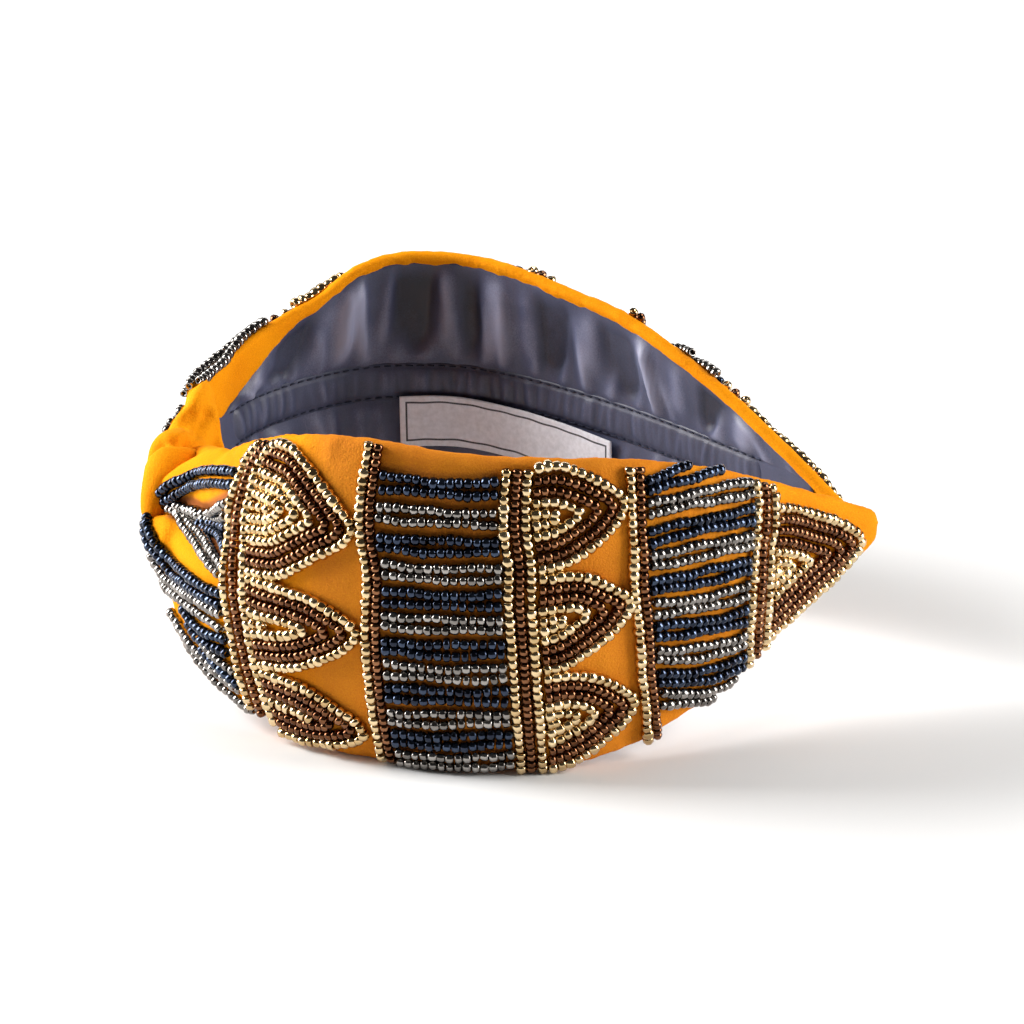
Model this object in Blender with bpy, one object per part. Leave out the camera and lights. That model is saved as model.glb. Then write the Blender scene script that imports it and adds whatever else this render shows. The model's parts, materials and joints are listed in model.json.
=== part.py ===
"""Knotted fabric headband with raised beadwork, lying on its lower edge.

Two padded cloth arms loop through each other at the knot and narrow to blunt tips. Each arm has
a rim at the top and at the bottom, a lining set between the hems on its inner side, and bands of
beadwork on its outer side. +X runs from the knot to the tips, -Y is the near side, +Z is up, and
the floor is at Z = 0. The tables are in millimetres with their heights measured from the arms'
mid-plane; the built meshes are in metres.

Places on an arm are given by run and share. Run is the distance in millimetres from the knot's
crossing along the arm's middle, on the near arm; the far arm's is stretched to its own length.
Share is the height from -1 at the low rim to 1 at the high rim.
"""
import math
from typing import NamedTuple

import bmesh
import bpy
import numpy as np

MM = 0.001

# Stance
MID_PLANE = 34.5
CENTRE_SHIFT = np.array([1.16, -2.63, 0.0])

# Cloth
KNOT_REACH = 3.9
PATTERN_LENGTH = 186.0
RIM = 3.2
WALL = 1.8
RIM_ROUND = 0.9
HEM_STEP = 0.3
GAP = 0.4
FOLD_SHARE = 0.1
FOLD_WIDTH = 0.3

# Lining, casing and label
LINING = 1.0
LINING_START = 28.0
LINING_END = 9.0
GATHER_PITCH = 5.2
GATHER_DEPTH = 0.45
CASING_HALF_HEIGHT = 4.0
CASING = 1.1
LABEL_SIZE = (54.0, 11.5)
LABEL = 0.6
LABEL_RUN = 95.0

# Beadwork
BEAD = 2.2
BEAD_LIFT = 0.4
BEAD_TOP = 2.1
PAIR = 3.9
PAIR_FILL = 0.72


class Section(NamedTuple):
    """One cross-section of an arm: its low and high rims, and the shape of the wall between."""

    low_x: float
    low_y: float
    low_z: float
    high_x: float
    high_y: float
    high_z: float
    bulge: float
    fold: float
    hem: float
    wall: float


NEAR_SECTIONS = (
    Section(-71.6, -15.8, -15.5, -63.0, -15.0, 14.6, 2.2, 3.4, 12.5, 8.0),
    Section(-70.8, -19.5, -17.5, -61.5, -18.0, 15.4, 3.0, 2.8, 12.5, 6.4),
    Section(-68.0, -26.0, -20.6, -58.8, -23.5, 18.0, 3.8, 1.6, 12.5, 4.2),
    Section(-63.0, -33.5, -24.2, -55.0, -31.0, 22.3, 4.4, 0.7, 12.0, RIM),
    Section(-56.5, -41.0, -27.4, -50.5, -38.5, 26.3, 5.0, 0.0, 11.0, 2.4),
    Section(-48.5, -48.0, -30.4, -45.0, -45.5, 29.8, 5.0, 0.0, 5.0, WALL),
    Section(-39.0, -54.0, -33.3, -38.0, -53.0, 33.0, 5.0, 0.0, 3.0, WALL),
    Section(-27.0, -59.0, -34.5, -27.0, -59.0, 34.7, 5.0, 0.0, 3.0, WALL),
    Section(-10.0, -63.4, -34.5, -10.0, -63.4, 33.8, 5.0, 0.0, 3.0, WALL),
    Section(7.0, -63.4, -34.5, 7.0, -63.4, 32.8, 4.5, 0.0, 3.0, WALL),
    Section(20.0, -60.2, -33.2, 20.0, -60.2, 32.0, 4.0, 0.0, 3.0, WALL),
    Section(32.0, -53.4, -30.4, 32.0, -53.4, 29.4, 3.5, 0.0, 3.0, WALL),
    Section(44.0, -42.5, -25.2, 44.0, -42.5, 24.0, 3.0, 0.0, 3.0, WALL),
    Section(55.0, -30.0, -18.4, 55.0, -30.0, 17.0, 2.0, 0.0, 3.0, WALL),
    Section(64.5, -20.5, -12.0, 64.5, -20.5, 10.8, 1.3, 0.0, 3.0, WALL),
    Section(71.5, -14.5, -7.2, 71.5, -14.5, 6.4, 0.6, 0.0, 3.0, 2.4),
    Section(76.0, -10.9, -3.9, 76.0, -10.9, 3.7, 0.0, 0.0, 3.0, RIM),
)

FAR_SECTIONS = (
    Section(-63.0, 15.0, -14.6, -71.6, 15.8, 14.8, 2.2, 3.4, 12.5, 8.0),
    Section(-61.8, 18.5, -15.8, -72.2, 20.5, 15.0, 3.0, 2.8, 12.5, 6.4),
    Section(-60.3, 26.0, -18.8, -71.0, 28.5, 15.6, 3.8, 1.6, 12.5, 4.2),
    Section(-57.5, 36.0, -23.0, -66.5, 38.0, 17.2, 4.4, 0.7, 12.0, RIM),
    Section(-54.0, 45.0, -26.8, -61.0, 47.5, 19.6, 5.0, 0.0, 10.0, 2.4),
    Section(-49.0, 53.0, -30.0, -54.5, 55.5, 21.6, 5.0, 0.0, 4.5, WALL),
    Section(-44.0, 59.5, -32.9, -48.0, 61.0, 24.0, 5.0, 0.0, 3.0, WALL),
    Section(-38.5, 65.0, -34.5, -40.5, 65.5, 29.0, 5.0, 0.0, 3.0, WALL),
    Section(-30.0, 68.5, -34.5, -31.0, 68.5, 31.7, 5.0, 0.0, 3.0, WALL),
    Section(-17.0, 68.5, -34.5, -17.0, 68.5, 32.0, 5.0, 0.0, 3.0, WALL),
    Section(-4.0, 63.5, -34.5, -4.0, 63.5, 31.0, 4.5, 0.0, 3.0, WALL),
    Section(8.0, 56.0, -33.0, 8.0, 56.0, 29.0, 4.0, 0.0, 3.0, WALL),
    Section(20.0, 47.0, -30.2, 20.0, 47.0, 27.3, 3.5, 0.0, 3.0, WALL),
    Section(33.0, 35.5, -25.2, 33.0, 35.5, 22.8, 3.0, 0.0, 3.0, WALL),
    Section(46.0, 23.5, -18.4, 46.0, 23.5, 16.6, 2.0, 0.0, 3.0, WALL),
    Section(58.0, 12.0, -11.5, 58.0, 12.0, 9.4, 1.3, 0.0, 3.0, WALL),
    Section(66.0, 5.0, -7.8, 66.0, 5.0, 3.9, 0.6, 0.0, 3.0, 2.4),
    Section(71.5, 0.8, -5.6, 71.5, 0.8, 0.2, 0.0, 0.0, 2.6, RIM),
)


class LoopPoint(NamedTuple):
    """One point of the near arm's knot loop: its place and the half sizes of its section."""

    x: float
    y: float
    z: float
    half_depth: float
    half_height: float


# The far arm's loop is the same one turned half a turn about X.
LOOP = (
    LoopPoint(-65.0, -22.0, -9.2, 1.8, 4.0),
    LoopPoint(-68.4, -16.0, -9.5, 3.3, 5.8),
    LoopPoint(-72.6, -9.0, -10.8, 4.1, 5.7),
    LoopPoint(-74.4, 0.0, -8.1, 4.5, 7.5),
    LoopPoint(-73.0, 6.0, -5.0, 4.4, 5.1),
    LoopPoint(-68.8, 9.0, 0.0, 4.4, 4.2),
    LoopPoint(-64.6, 6.0, 5.0, 4.4, 5.1),
    LoopPoint(-62.8, 0.0, 8.1, 4.5, 7.5),
    LoopPoint(-61.6, -9.0, 10.6, 4.0, 5.7),
    LoopPoint(-60.2, -16.0, 9.2, 3.1, 5.8),
    LoopPoint(-57.2, -22.0, 9.2, 1.8, 4.0),
)
LOOP_SIDES = 12


class Column(NamedTuple):
    """A band of strands across an arm: its run at five shares, and how far it reaches."""

    low_run: float
    lower_run: float
    middle_run: float
    upper_run: float
    high_run: float
    strands: int
    low: float
    high: float


class Arrow(NamedTuple):
    """A pointed arch of strands that stands on a column."""

    column: str
    apex_run: float
    low: float
    high: float
    apex: float


class Panel(NamedTuple):
    """Pairs of strands between two columns: share = low + step * count at each end."""

    start_column: str
    end_column: str
    pairs: int
    start_low: float
    start_step: float
    end_low: float
    end_step: float


COLUMN_SHARES = (-0.9, -0.5, 0.0, 0.5, 0.9)
COLUMNS = {
    "column_knot": Column(43.4, 41.0, 38.4, 36.2, 39.4, 2, -0.9, 0.9),
    "column_a": Column(69.9, 69.0, 68.0, 67.0, 66.6, 1, -0.95, 0.95),
    "column_b": Column(101.6, 100.7, 99.8, 99.0, 98.8, 2, -0.95, 0.95),
    "column_c": Column(124.4, 122.4, 121.2, 120.4, 120.5, 1, -0.92, 0.94),
    "column_d": Column(157.6, 156.4, 156.0, 157.6, 160.6, 2, -0.88, 0.93),
}
KNOT_END = Column(7.2, 7.2, 7.2, 7.2, 7.2, 0, -1.0, 1.0)

ARROWS = {
    "arrow_a1": Arrow("column_knot", 65.0, 0.1, 0.93, 0.45),
    "arrow_a2": Arrow("column_knot", 65.6, -0.38, 0.04, -0.16),
    "arrow_a3": Arrow("column_knot", 66.2, -0.9, -0.45, -0.78),
    "arrow_b1": Arrow("column_b", 118.6, 0.36, 0.95, 0.74),
    "arrow_b2": Arrow("column_b", 119.4, -0.3, 0.3, 0.09),
    "arrow_b3": Arrow("column_b", 120.8, -0.93, -0.36, -0.6),
    "arrow_tip": Arrow("column_d", 184.4, -0.84, 0.74, -0.05),
}

PANELS = {
    "panel_a": Panel("column_a", "column_b", 12, -0.91, 0.155, -0.87, 0.153),
    "panel_b": Panel("column_c", "column_d", 10, -0.69, 0.17, -1.07, 0.242),
}
FAN = Panel("knot_end", "column_knot", 12, -0.85, 0.142, -0.86, 0.147)
SPINE = 2.0
TOOTH_END = 0.5
SKIN_GAP = 0.5
PANEL_REACH = 0.95
ARROW_BEND = 2.2
ARROW_NOSE = 0.12

CLOTH = ("cloth", (0.93, 0.42, 0.02), 0.85, 0.0)
SATIN = ("satin", (0.07, 0.08, 0.11), 0.5, 0.0)
LABEL_CLOTH = ("label_cloth", (0.62, 0.62, 0.66), 0.7, 0.0)
GOLD = ("gold_beads", (0.75, 0.58, 0.32), 0.3, 0.9)
BRONZE = ("bronze_beads", (0.33, 0.15, 0.06), 0.3, 0.9)
NAVY = ("navy_beads", (0.03, 0.06, 0.12), 0.25, 0.8)
STEEL = ("steel_beads", (0.42, 0.4, 0.38), 0.28, 0.9)


class Arm:
    """The outer face of one arm, as a smooth surface through its sections."""

    def __init__(self, name, sections, side):
        """Keep the sections; side is 1 for the near arm and -1 for the far one."""
        self.name = name
        self.side = side
        self.rows = np.array(sections, dtype=float)
        middle = (self.rows[:, 0:3] + self.rows[:, 3:6]) / 2
        steps = np.linalg.norm(np.diff(middle, axis=0), axis=1)
        steps *= PATTERN_LENGTH / steps.sum()
        self.stations = KNOT_REACH + np.concatenate([[0.0], np.cumsum(steps)])
        self.length = self.stations[-1]
        slopes = np.zeros_like(self.rows)
        spans = (self.stations[2:] - self.stations[:-2])[:, None]
        slopes[1:-1] = (self.rows[2:] - self.rows[:-2]) / spans
        slopes[0] = (self.rows[1] - self.rows[0]) / steps[0]
        slopes[-1] = (self.rows[-1] - self.rows[-2]) / steps[-1]
        self.slopes = slopes

    def section(self, run):
        """Return the section at a run as a Section, by cubic interpolation between the rows."""
        run = min(max(run, KNOT_REACH), self.length)
        index = min(int(np.searchsorted(self.stations, run, side="right")) - 1, len(self.rows) - 2)
        span = self.stations[index + 1] - self.stations[index]
        u = (run - self.stations[index]) / span
        start = (2 * u**3 - 3 * u**2 + 1) * self.rows[index]
        start = start + (u**3 - 2 * u**2 + u) * span * self.slopes[index]
        end = (3 * u**2 - 2 * u**3) * self.rows[index + 1]
        end = end + (u**3 - u**2) * span * self.slopes[index + 1]
        values = Section(*(start + end))
        return values._replace(low_z=max(values.low_z, -MID_PLANE), fold=max(values.fold, 0.0),
                               bulge=max(values.bulge, 0.0), wall=max(values.wall, WALL))

    def outward(self, run):
        """Return the horizontal unit vector that points out of the arm at a run."""
        before = self.section(run - 0.5)
        after = self.section(run + 0.5)
        along_x = after.low_x + after.high_x - before.low_x - before.high_x
        along_y = after.low_y + after.high_y - before.low_y - before.high_y
        size = math.hypot(along_x, along_y)
        return np.array([along_y, -along_x, 0.0]) / size * self.side

    def height(self, run):
        """Return the height from rim to rim at a run."""
        section = self.section(run)
        return section.high_z - section.low_z

    def share_at(self, run, above_low):
        """Return the share of a place that many millimetres above the low rim."""
        return 2 * above_low / self.height(run) - 1

    def share_of_level(self, run, level):
        """Return the share of a place at a height from the mid-plane."""
        return self.share_at(run, level - self.section(run).low_z)

    def point(self, run, share, depth, folded=False):
        """Return a place at a depth behind the outer face, which has the knot's fold if asked."""
        section = self.section(run)
        blend = (1 + share) / 2
        low = np.array([section.low_x, section.low_y, section.low_z])
        high = np.array([section.high_x, section.high_y, section.high_z])
        out = section.bulge * (1 - share**2) - depth
        if folded:
            out -= section.fold * math.exp(-((share - FOLD_SHARE) / FOLD_WIDTH) ** 2)
        return low * (1 - blend) + high * blend + self.outward(run) * out


def place(point):
    """Return a table point in metres above the floor."""
    lifted = np.asarray(point) + CENTRE_SHIFT + np.array([0.0, 0.0, MID_PLANE])
    return tuple(lifted * MM)


def material(finish):
    """Return the material of a finish, made the first time it is asked for."""
    name, colour, roughness, metallic = finish
    made = bpy.data.materials.get(name)
    if made is None:
        made = bpy.data.materials.new(name)
        made.use_nodes = True
        shader = made.node_tree.nodes["Principled BSDF"]
        shader.inputs["Base Color"].default_value = (*colour, 1.0)
        shader.inputs["Roughness"].default_value = roughness
        shader.inputs["Metallic"].default_value = metallic
        made.diffuse_color = (*colour, 1.0)
    return made


def finish_object(name, mesh_builder, finish):
    """Turn a bmesh into an object whose faces point out."""
    bmesh.ops.recalc_face_normals(mesh_builder, faces=mesh_builder.faces)
    mesh = bpy.data.meshes.new(name)
    mesh_builder.to_mesh(mesh)
    mesh_builder.free()
    mesh.shade_smooth()
    mesh.set_sharp_from_angle(angle=math.radians(40))
    mesh.materials.append(material(finish))
    built = bpy.data.objects.new(name, mesh)
    bpy.context.scene.collection.objects.link(built)
    return built


def loft(name, rings, finish, ladder_caps=True):
    """Build a closed body through rings of points.

    A ring lists its outer points upwards and then its inner points downwards, so that a ladder
    of quads closes each end. A round ring is closed by one face instead.
    """
    builder = bmesh.new()
    rows = [[builder.verts.new(place(point)) for point in ring] for ring in rings]
    count = len(rows[0])
    for row, following in zip(rows, rows[1:]):
        for index in range(count):
            after = (index + 1) % count
            builder.faces.new((row[index], row[after], following[after], following[index]))
    for row in (rows[0], rows[-1]):
        if ladder_caps:
            for index in range(count // 2 - 1):
                builder.faces.new((row[index], row[index + 1], row[-2 - index], row[-1 - index]))
        else:
            builder.faces.new(row)
    return finish_object(name, builder, finish)


def runs_between(start, end, step):
    """Return evenly spaced runs from start to end, no further apart than a step."""
    count = max(2, math.ceil((end - start) / step) + 1)
    return [start + (end - start) * index / (count - 1) for index in range(count)]


def cover_ring(arm, run, shrink=1.0):
    """Return the cover's ring at a run: outer face upwards, then inner face downwards."""
    section = arm.section(run)
    height = arm.height(run)
    rim = max(RIM, section.wall) * shrink
    wall = min(section.wall * shrink, rim)
    hem = min(section.hem, height / 2 - 0.9)
    round_off = min(RIM_ROUND, rim * 0.28)
    steps = [(0.0, round_off, rim - round_off), (min(1.0, hem * 0.3), 0.0, rim),
             (hem * 0.4 + 0.4, 0.0, rim), (hem * 0.7, 0.0, rim), (hem, 0.0, rim),
             (hem + HEM_STEP, 0.0, wall)]
    clear = height - 2 * steps[-1][0]
    middle = [(steps[-1][0] + clear * part, 0.0, wall) for part in (0.25, 0.5, 0.75)]
    mirrored = [(height - above, out, back) for above, out, back in reversed(steps)]
    levels = steps + middle + mirrored
    outer = [arm.point(run, arm.share_at(run, above), out, folded=True)
             for above, out, _ in levels]
    inner = [arm.point(run, arm.share_at(run, above), back) for above, _, back in levels]
    return outer + inner[::-1]


def cover(arm):
    """Build an arm's padded cloth with its hems, its blunt tip and its knot loop."""
    rings = [cover_ring(arm, run) for run in runs_between(KNOT_REACH, 48.0, 4.9)]
    rings += [cover_ring(arm, run) for run in runs_between(55.0, arm.length, 7.6)]
    tip = np.array(rings[-1])
    centre = tip.mean(axis=0)
    along = centre - np.array(rings[-2]).mean(axis=0)
    along[2] = 0.0
    along /= np.linalg.norm(along)
    rings.append(list(centre + (tip - centre) * 0.62 + along * 1.3))
    body = loft(f"{arm.name}_cover", rings, CLOTH)
    guide = knot_loop(arm)
    union = body.modifiers.new("knot", "BOOLEAN")
    union.operation = "UNION"
    union.solver = "EXACT"
    union.object = guide
    return body


def knot_loop(arm):
    """Build the arm's loop through the knot as a guide that its cover is joined to."""
    turn = np.array([1.0, arm.side, arm.side])
    centres = [np.array([point.x, point.y, point.z]) for point in LOOP]
    rings = []
    for index, point in enumerate(LOOP):
        before = centres[max(index - 1, 0)]
        after = centres[min(index + 1, len(LOOP) - 1)]
        along = (after - before) / np.linalg.norm(after - before)
        across = np.array([1.0, 0.0, 0.0]) - along[0] * along
        across /= np.linalg.norm(across)
        upward = np.cross(along, across)
        ring = []
        for side in range(LOOP_SIDES):
            angle = 2 * math.pi * side / LOOP_SIDES
            offset = across * math.cos(angle) * point.half_depth
            offset = offset + upward * math.sin(angle) * point.half_height
            ring.append((centres[index] + offset) * turn)
        rings.append(ring)
    guide = loft(f"{arm.name}_knot_guide", rings, CLOTH, ladder_caps=False)
    guide.hide_render = True
    guide.display_type = "WIRE"
    return guide


def lining_depth(arm, run):
    """Return the depths of the lining's front and back at a run."""
    front = arm.section(run).wall + GAP
    return front, front + LINING * max(0.7, min(1.0, arm.height(run) / 30))


def lining(arm):
    """Build the lining that lies between an arm's hems, with coarse gathers."""
    rings = []
    for index, run in enumerate(runs_between(LINING_START, arm.length - LINING_END, GATHER_PITCH)):
        section = arm.section(run)
        height = arm.height(run)
        edge = min(section.hem, height / 2 - 0.9) + HEM_STEP + GAP
        clear = height - 2 * edge
        puff = GATHER_DEPTH * min(1.0, height / 50) * (index % 2)
        front, back = lining_depth(arm, run)
        levels = [(edge, 0.0), (edge + clear * 0.25, puff), (edge + clear * 0.5, 0.0),
                  (edge + clear * 0.75, puff), (height - edge, 0.0)]
        outer = [arm.point(run, arm.share_at(run, above), front) for above, _ in levels]
        inner = [arm.point(run, arm.share_at(run, above), back + swell) for above, swell in levels]
        rings.append(outer + inner[::-1])
    return loft(f"{arm.name}_lining", rings, SATIN)


def inner_strip(name, arm, runs, levels, clearance, thickness, finish):
    """Build a flat strip on an arm's lining between heights from the mid-plane."""
    rings = []
    for run in runs:
        shares = [arm.share_of_level(run, level) for level in levels]
        front = lining_depth(arm, run)[1] + clearance
        outer = [arm.point(run, share, front) for share in shares]
        inner = [arm.point(run, share, front + thickness) for share in shares]
        rings.append(outer + inner[::-1])
    return loft(name, rings, finish)


def casing(arm):
    """Build the narrow gathered casing along the middle of an arm's lining."""
    runs = runs_between(LINING_START + 3, arm.length - LINING_END - 14, 6.5)
    clearance = GATHER_DEPTH / 4 + GAP
    levels = [-CASING_HALF_HEIGHT, 0.0, CASING_HALF_HEIGHT]
    return inner_strip(f"{arm.name}_casing", arm, runs, levels, clearance, CASING, SATIN)


def label(arm):
    """Build the bare label just under the casing."""
    length, height = LABEL_SIZE
    runs = runs_between(LABEL_RUN - length / 2, LABEL_RUN + length / 2, 5.8)
    top = -CASING_HALF_HEIGHT - GAP
    levels = [top - height, top - height / 2, top]
    return inner_strip("label", arm, runs, levels, GATHER_DEPTH + GAP, LABEL, LABEL_CLOTH)


def raised(name, arm, places, filled, finish):
    """Build a raised skin on an arm's outer face from the filled cells of a grid of places.

    places[row][column] is a (run, share) pair, and filled(row, column) says whether the cell
    between that place and the next row and column is solid. The far arm is the same piece turned
    half a turn about X, so its shares change sign.
    """
    builder = bmesh.new()
    rows = len(places)
    columns = len(places[0])
    under = {}
    over = {}

    def corner(row, column):
        key = (row, column)
        if key not in under:
            run, share = places[row][column]
            share *= arm.side
            under[key] = builder.verts.new(place(arm.point(run, share, -BEAD_LIFT, folded=True)))
            over[key] = builder.verts.new(place(arm.point(run, share, -BEAD_TOP, folded=True)))
        return key

    solid = {(row, column) for row in range(rows - 1) for column in range(columns - 1)
             if filled(row, column)}
    for row, column in sorted(solid):
        ring = [corner(row, column), corner(row, column + 1),
                corner(row + 1, column + 1), corner(row + 1, column)]
        builder.faces.new([over[key] for key in ring])
        builder.faces.new([under[key] for key in reversed(ring)])
        beyond = [(row - 1, column), (row, column + 1), (row + 1, column), (row, column - 1)]
        for index, neighbour in enumerate(beyond):
            if neighbour not in solid:
                first = ring[index]
                second = ring[(index + 1) % 4]
                builder.faces.new((under[first], under[second], over[second], over[first]))
    return finish_object(name, builder, finish)


def column_run(column, share, offset=0.0):
    """Return the run of a column's middle, or of a line beside it, at a share."""
    curve = np.polyfit(COLUMN_SHARES, column[0:5], len(COLUMN_SHARES) - 1)
    return float(np.polyval(curve, share)) + offset


def beside(name, share, sign):
    """Return the run just before or after a named column's edge at a share."""
    column = COLUMNS.get(name, KNOT_END)
    clear = column.strands * BEAD / 2 + SKIN_GAP
    return column_run(column, share, sign * clear)


def bead_column(arm, name, column):
    """Build one column of strands."""
    half = column.strands * BEAD / 2
    shares = np.linspace(column.low, column.high, 12)
    places = [[(column_run(column, share, offset), share) for offset in (-half, half)]
              for share in shares]
    return raised(f"{arm.name}_{name}", arm, places, lambda row, cell: True, GOLD)


def bead_arrow(arm, name, arrow):
    """Build one pointed arch as a plate."""
    places = []
    for part in np.linspace(0.0, 1.0, 6):
        bend = part**ARROW_BEND * (1 - ARROW_NOSE)
        low = arrow.low + (arrow.apex - arrow.low) * bend
        high = arrow.high + (arrow.apex - arrow.high) * bend
        row = []
        for share in np.linspace(low, high, 5):
            base = beside(arrow.column, share, 1)
            row.append((base + (arrow.apex_run - base) * part, share))
        places.append(row)
    return raised(f"{arm.name}_{name}", arm, places, lambda row, cell: True, BRONZE)


def pair_share(panel, count, along):
    """Return the share of a pair's middle at a part of its panel's length."""
    start = panel.start_low + panel.start_step * count
    end = panel.end_low + panel.end_step * count
    return start + (end - start) * along


def comb(arm, name, panel, counts, spine_first, finish, pieces=3):
    """Build a spine along one side of a panel, with the counted pairs as its teeth."""
    places = []
    reach = []
    for count in counts:
        middle = pair_share(panel, count, 0.5)
        length = beside(panel.end_column, middle, -1) - beside(panel.start_column, middle, 1)
        spine = SPINE / length
        tooth_end = (SPINE + TOOTH_END) / length
        parts = [0.0, *np.linspace(spine, 1 - tooth_end, pieces + 1)]
        if not spine_first:
            parts = [1 - part for part in parts]
        for edge in (-0.5, 0.5):
            row = []
            for part in parts:
                share = pair_share(panel, count, part)
                step = panel.start_step + (panel.end_step - panel.start_step) * part
                guess = beside(panel.start_column, share, 1) + length * part
                width = min(PAIR / arm.height(guess) * 2, PAIR_FILL * step)
                share = min(max(share + edge * width, -PANEL_REACH), PANEL_REACH)
                start = beside(panel.start_column, share, 1)
                run = start + (beside(panel.end_column, share, -1) - start) * part
                row.append((run, share))
            places.append(row)
        reach.append([abs(pair_share(panel, count, part)) < PANEL_REACH - 0.01
                      for part in parts[1:]])

    def filled(row, cell):
        if cell == 0:
            return True
        return row % 2 == 0 and all(reach[row // 2][:cell + 1])

    return raised(f"{arm.name}_{name}", arm, places, filled, finish)


def beadwork(arm):
    """Build all the beadwork of one arm."""
    comb(arm, "fan", FAN, range(FAN.pairs), False, NAVY, pieces=4)
    for name, column in COLUMNS.items():
        bead_column(arm, name, column)
    for name, arrow in ARROWS.items():
        bead_arrow(arm, name, arrow)
    for name, panel in PANELS.items():
        comb(arm, f"{name}_navy", panel, range(1, panel.pairs, 2), True, NAVY)
        comb(arm, f"{name}_steel", panel, range(0, panel.pairs, 2), False, STEEL)


def main():
    """Build the headband."""
    for old in list(bpy.data.objects):
        bpy.data.objects.remove(old, do_unlink=True)
    near = Arm("near", NEAR_SECTIONS, 1.0)
    far = Arm("far", FAR_SECTIONS, -1.0)
    for arm in (near, far):
        cover(arm)
        lining(arm)
        casing(arm)
        beadwork(arm)
    label(far)


main()
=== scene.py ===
"""Visual model of a knotted headband: two padded cloth arms, their linings and their seed beadwork."""
import sys
import json
import logging
import math
from dataclasses import astuple, dataclass, field
from enum import Enum

import bmesh
import bpy
import numpy as np
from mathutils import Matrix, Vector, noise
from mathutils.bvhtree import BVHTree
from mathutils.kdtree import KDTree

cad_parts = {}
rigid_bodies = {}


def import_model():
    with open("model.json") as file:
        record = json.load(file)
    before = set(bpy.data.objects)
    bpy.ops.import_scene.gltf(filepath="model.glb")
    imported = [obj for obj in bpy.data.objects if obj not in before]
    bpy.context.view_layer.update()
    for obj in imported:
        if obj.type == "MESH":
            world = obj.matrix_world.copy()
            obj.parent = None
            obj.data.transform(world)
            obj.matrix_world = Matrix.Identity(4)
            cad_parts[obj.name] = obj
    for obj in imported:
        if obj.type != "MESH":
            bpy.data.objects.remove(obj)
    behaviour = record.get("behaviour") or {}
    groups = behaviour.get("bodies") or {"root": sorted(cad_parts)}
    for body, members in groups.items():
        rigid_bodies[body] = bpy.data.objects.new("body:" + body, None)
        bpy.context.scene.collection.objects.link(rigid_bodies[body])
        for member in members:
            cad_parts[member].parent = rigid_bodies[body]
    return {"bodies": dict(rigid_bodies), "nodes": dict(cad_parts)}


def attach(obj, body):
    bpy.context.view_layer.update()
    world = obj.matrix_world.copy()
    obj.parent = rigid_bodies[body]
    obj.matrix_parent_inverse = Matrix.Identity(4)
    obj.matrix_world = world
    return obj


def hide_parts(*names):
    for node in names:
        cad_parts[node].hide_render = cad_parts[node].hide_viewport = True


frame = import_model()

# Short names for types.
Array = np.ndarray
Piece = bpy.types.Object
Material = bpy.types.Material
Socket = bpy.types.NodeSocket
Colour = tuple[float, float, float]
Point = tuple[float, float, float]
Pair = tuple[float, float]
Floats = tuple[float, ...]

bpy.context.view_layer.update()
LOG = logging.getLogger("headband")

BODY = "root"

# Sizes are in millimetres. The tables' points have x from the knot to the tips, and z from the
# arms' mid-plane.
MM = 0.001
# The mid-plane's height above the floor, and the way from a table point to the part's own frame.
MID_PLANE = 34.5
CENTRE_SHIFT = np.array([1.16, -2.63, 0.0])
TO_FLOOR = CENTRE_SHIFT + np.array([0.0, 0.0, MID_PLANE])
# The run where an arm leaves the knot, and the run from there to its tip.
KNOT_REACH = 3.9
PATTERN_LENGTH = 186.0
# The thickness of the cloth wall and of the turned hem at a rim.
WALL = 1.8
RIM = 3.2


class Tone(Enum):
    """The four bead finishes, named as the record's slots."""

    GOLD = "gold_beads"
    BRONZE = "bronze_beads"
    NAVY = "navy_beads"
    STEEL = "steel_beads"


@dataclass(frozen=True)
class Section:
    """One cross-section of an arm: its two rims, how far it bulges, its hem's width and its wall."""

    low_x: float
    low_y: float
    low_z: float
    high_x: float
    high_y: float
    high_z: float
    bulge: float
    hem: float
    wall: float


# Where a Section's values stand in its row.
LOW_Z, HIGH_Z, BULGE, HEM, DEEP = 2, 5, 6, 7, 8

# The sections of each arm from the knot to its tip.
NEAR_SECTIONS = tuple(Section(*row) for row in (
    (-71.6, -15.8, -15.5, -63.0, -15.0, 14.6, 2.2, 12.5, 8.0),
    (-70.8, -19.5, -17.5, -61.5, -18.0, 15.4, 3.0, 12.5, 6.4),
    (-68.0, -26.0, -20.6, -58.8, -23.5, 18.0, 3.8, 12.5, 4.2),
    (-63.0, -33.5, -24.2, -55.0, -31.0, 22.3, 4.4, 12.0, RIM),
    (-56.5, -41.0, -27.4, -50.5, -38.5, 26.3, 5.0, 11.0, 2.4),
    (-48.5, -48.0, -30.4, -45.0, -45.5, 29.8, 5.0, 5.0, WALL),
    (-39.0, -54.0, -33.3, -38.0, -53.0, 33.0, 5.0, 3.0, WALL),
    (-27.0, -59.0, -34.5, -27.0, -59.0, 34.7, 5.0, 3.0, WALL),
    (-10.0, -63.4, -34.5, -10.0, -63.4, 33.8, 5.0, 3.0, WALL),
    (7.0, -63.4, -34.5, 7.0, -63.4, 32.8, 4.5, 3.0, WALL),
    (20.0, -60.2, -33.2, 20.0, -60.2, 32.0, 4.0, 3.0, WALL),
    (32.0, -53.4, -30.4, 32.0, -53.4, 29.4, 3.5, 3.0, WALL),
    (44.0, -42.5, -25.2, 44.0, -42.5, 24.0, 3.0, 3.0, WALL),
    (55.0, -30.0, -18.4, 55.0, -30.0, 17.0, 2.0, 3.0, WALL),
    (64.5, -20.5, -12.0, 64.5, -20.5, 10.8, 1.3, 3.0, WALL),
    (71.5, -14.5, -7.2, 71.5, -14.5, 6.4, 0.6, 3.0, 2.4),
    (76.0, -10.9, -3.9, 76.0, -10.9, 3.7, 0.0, 3.0, RIM),
))

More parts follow.
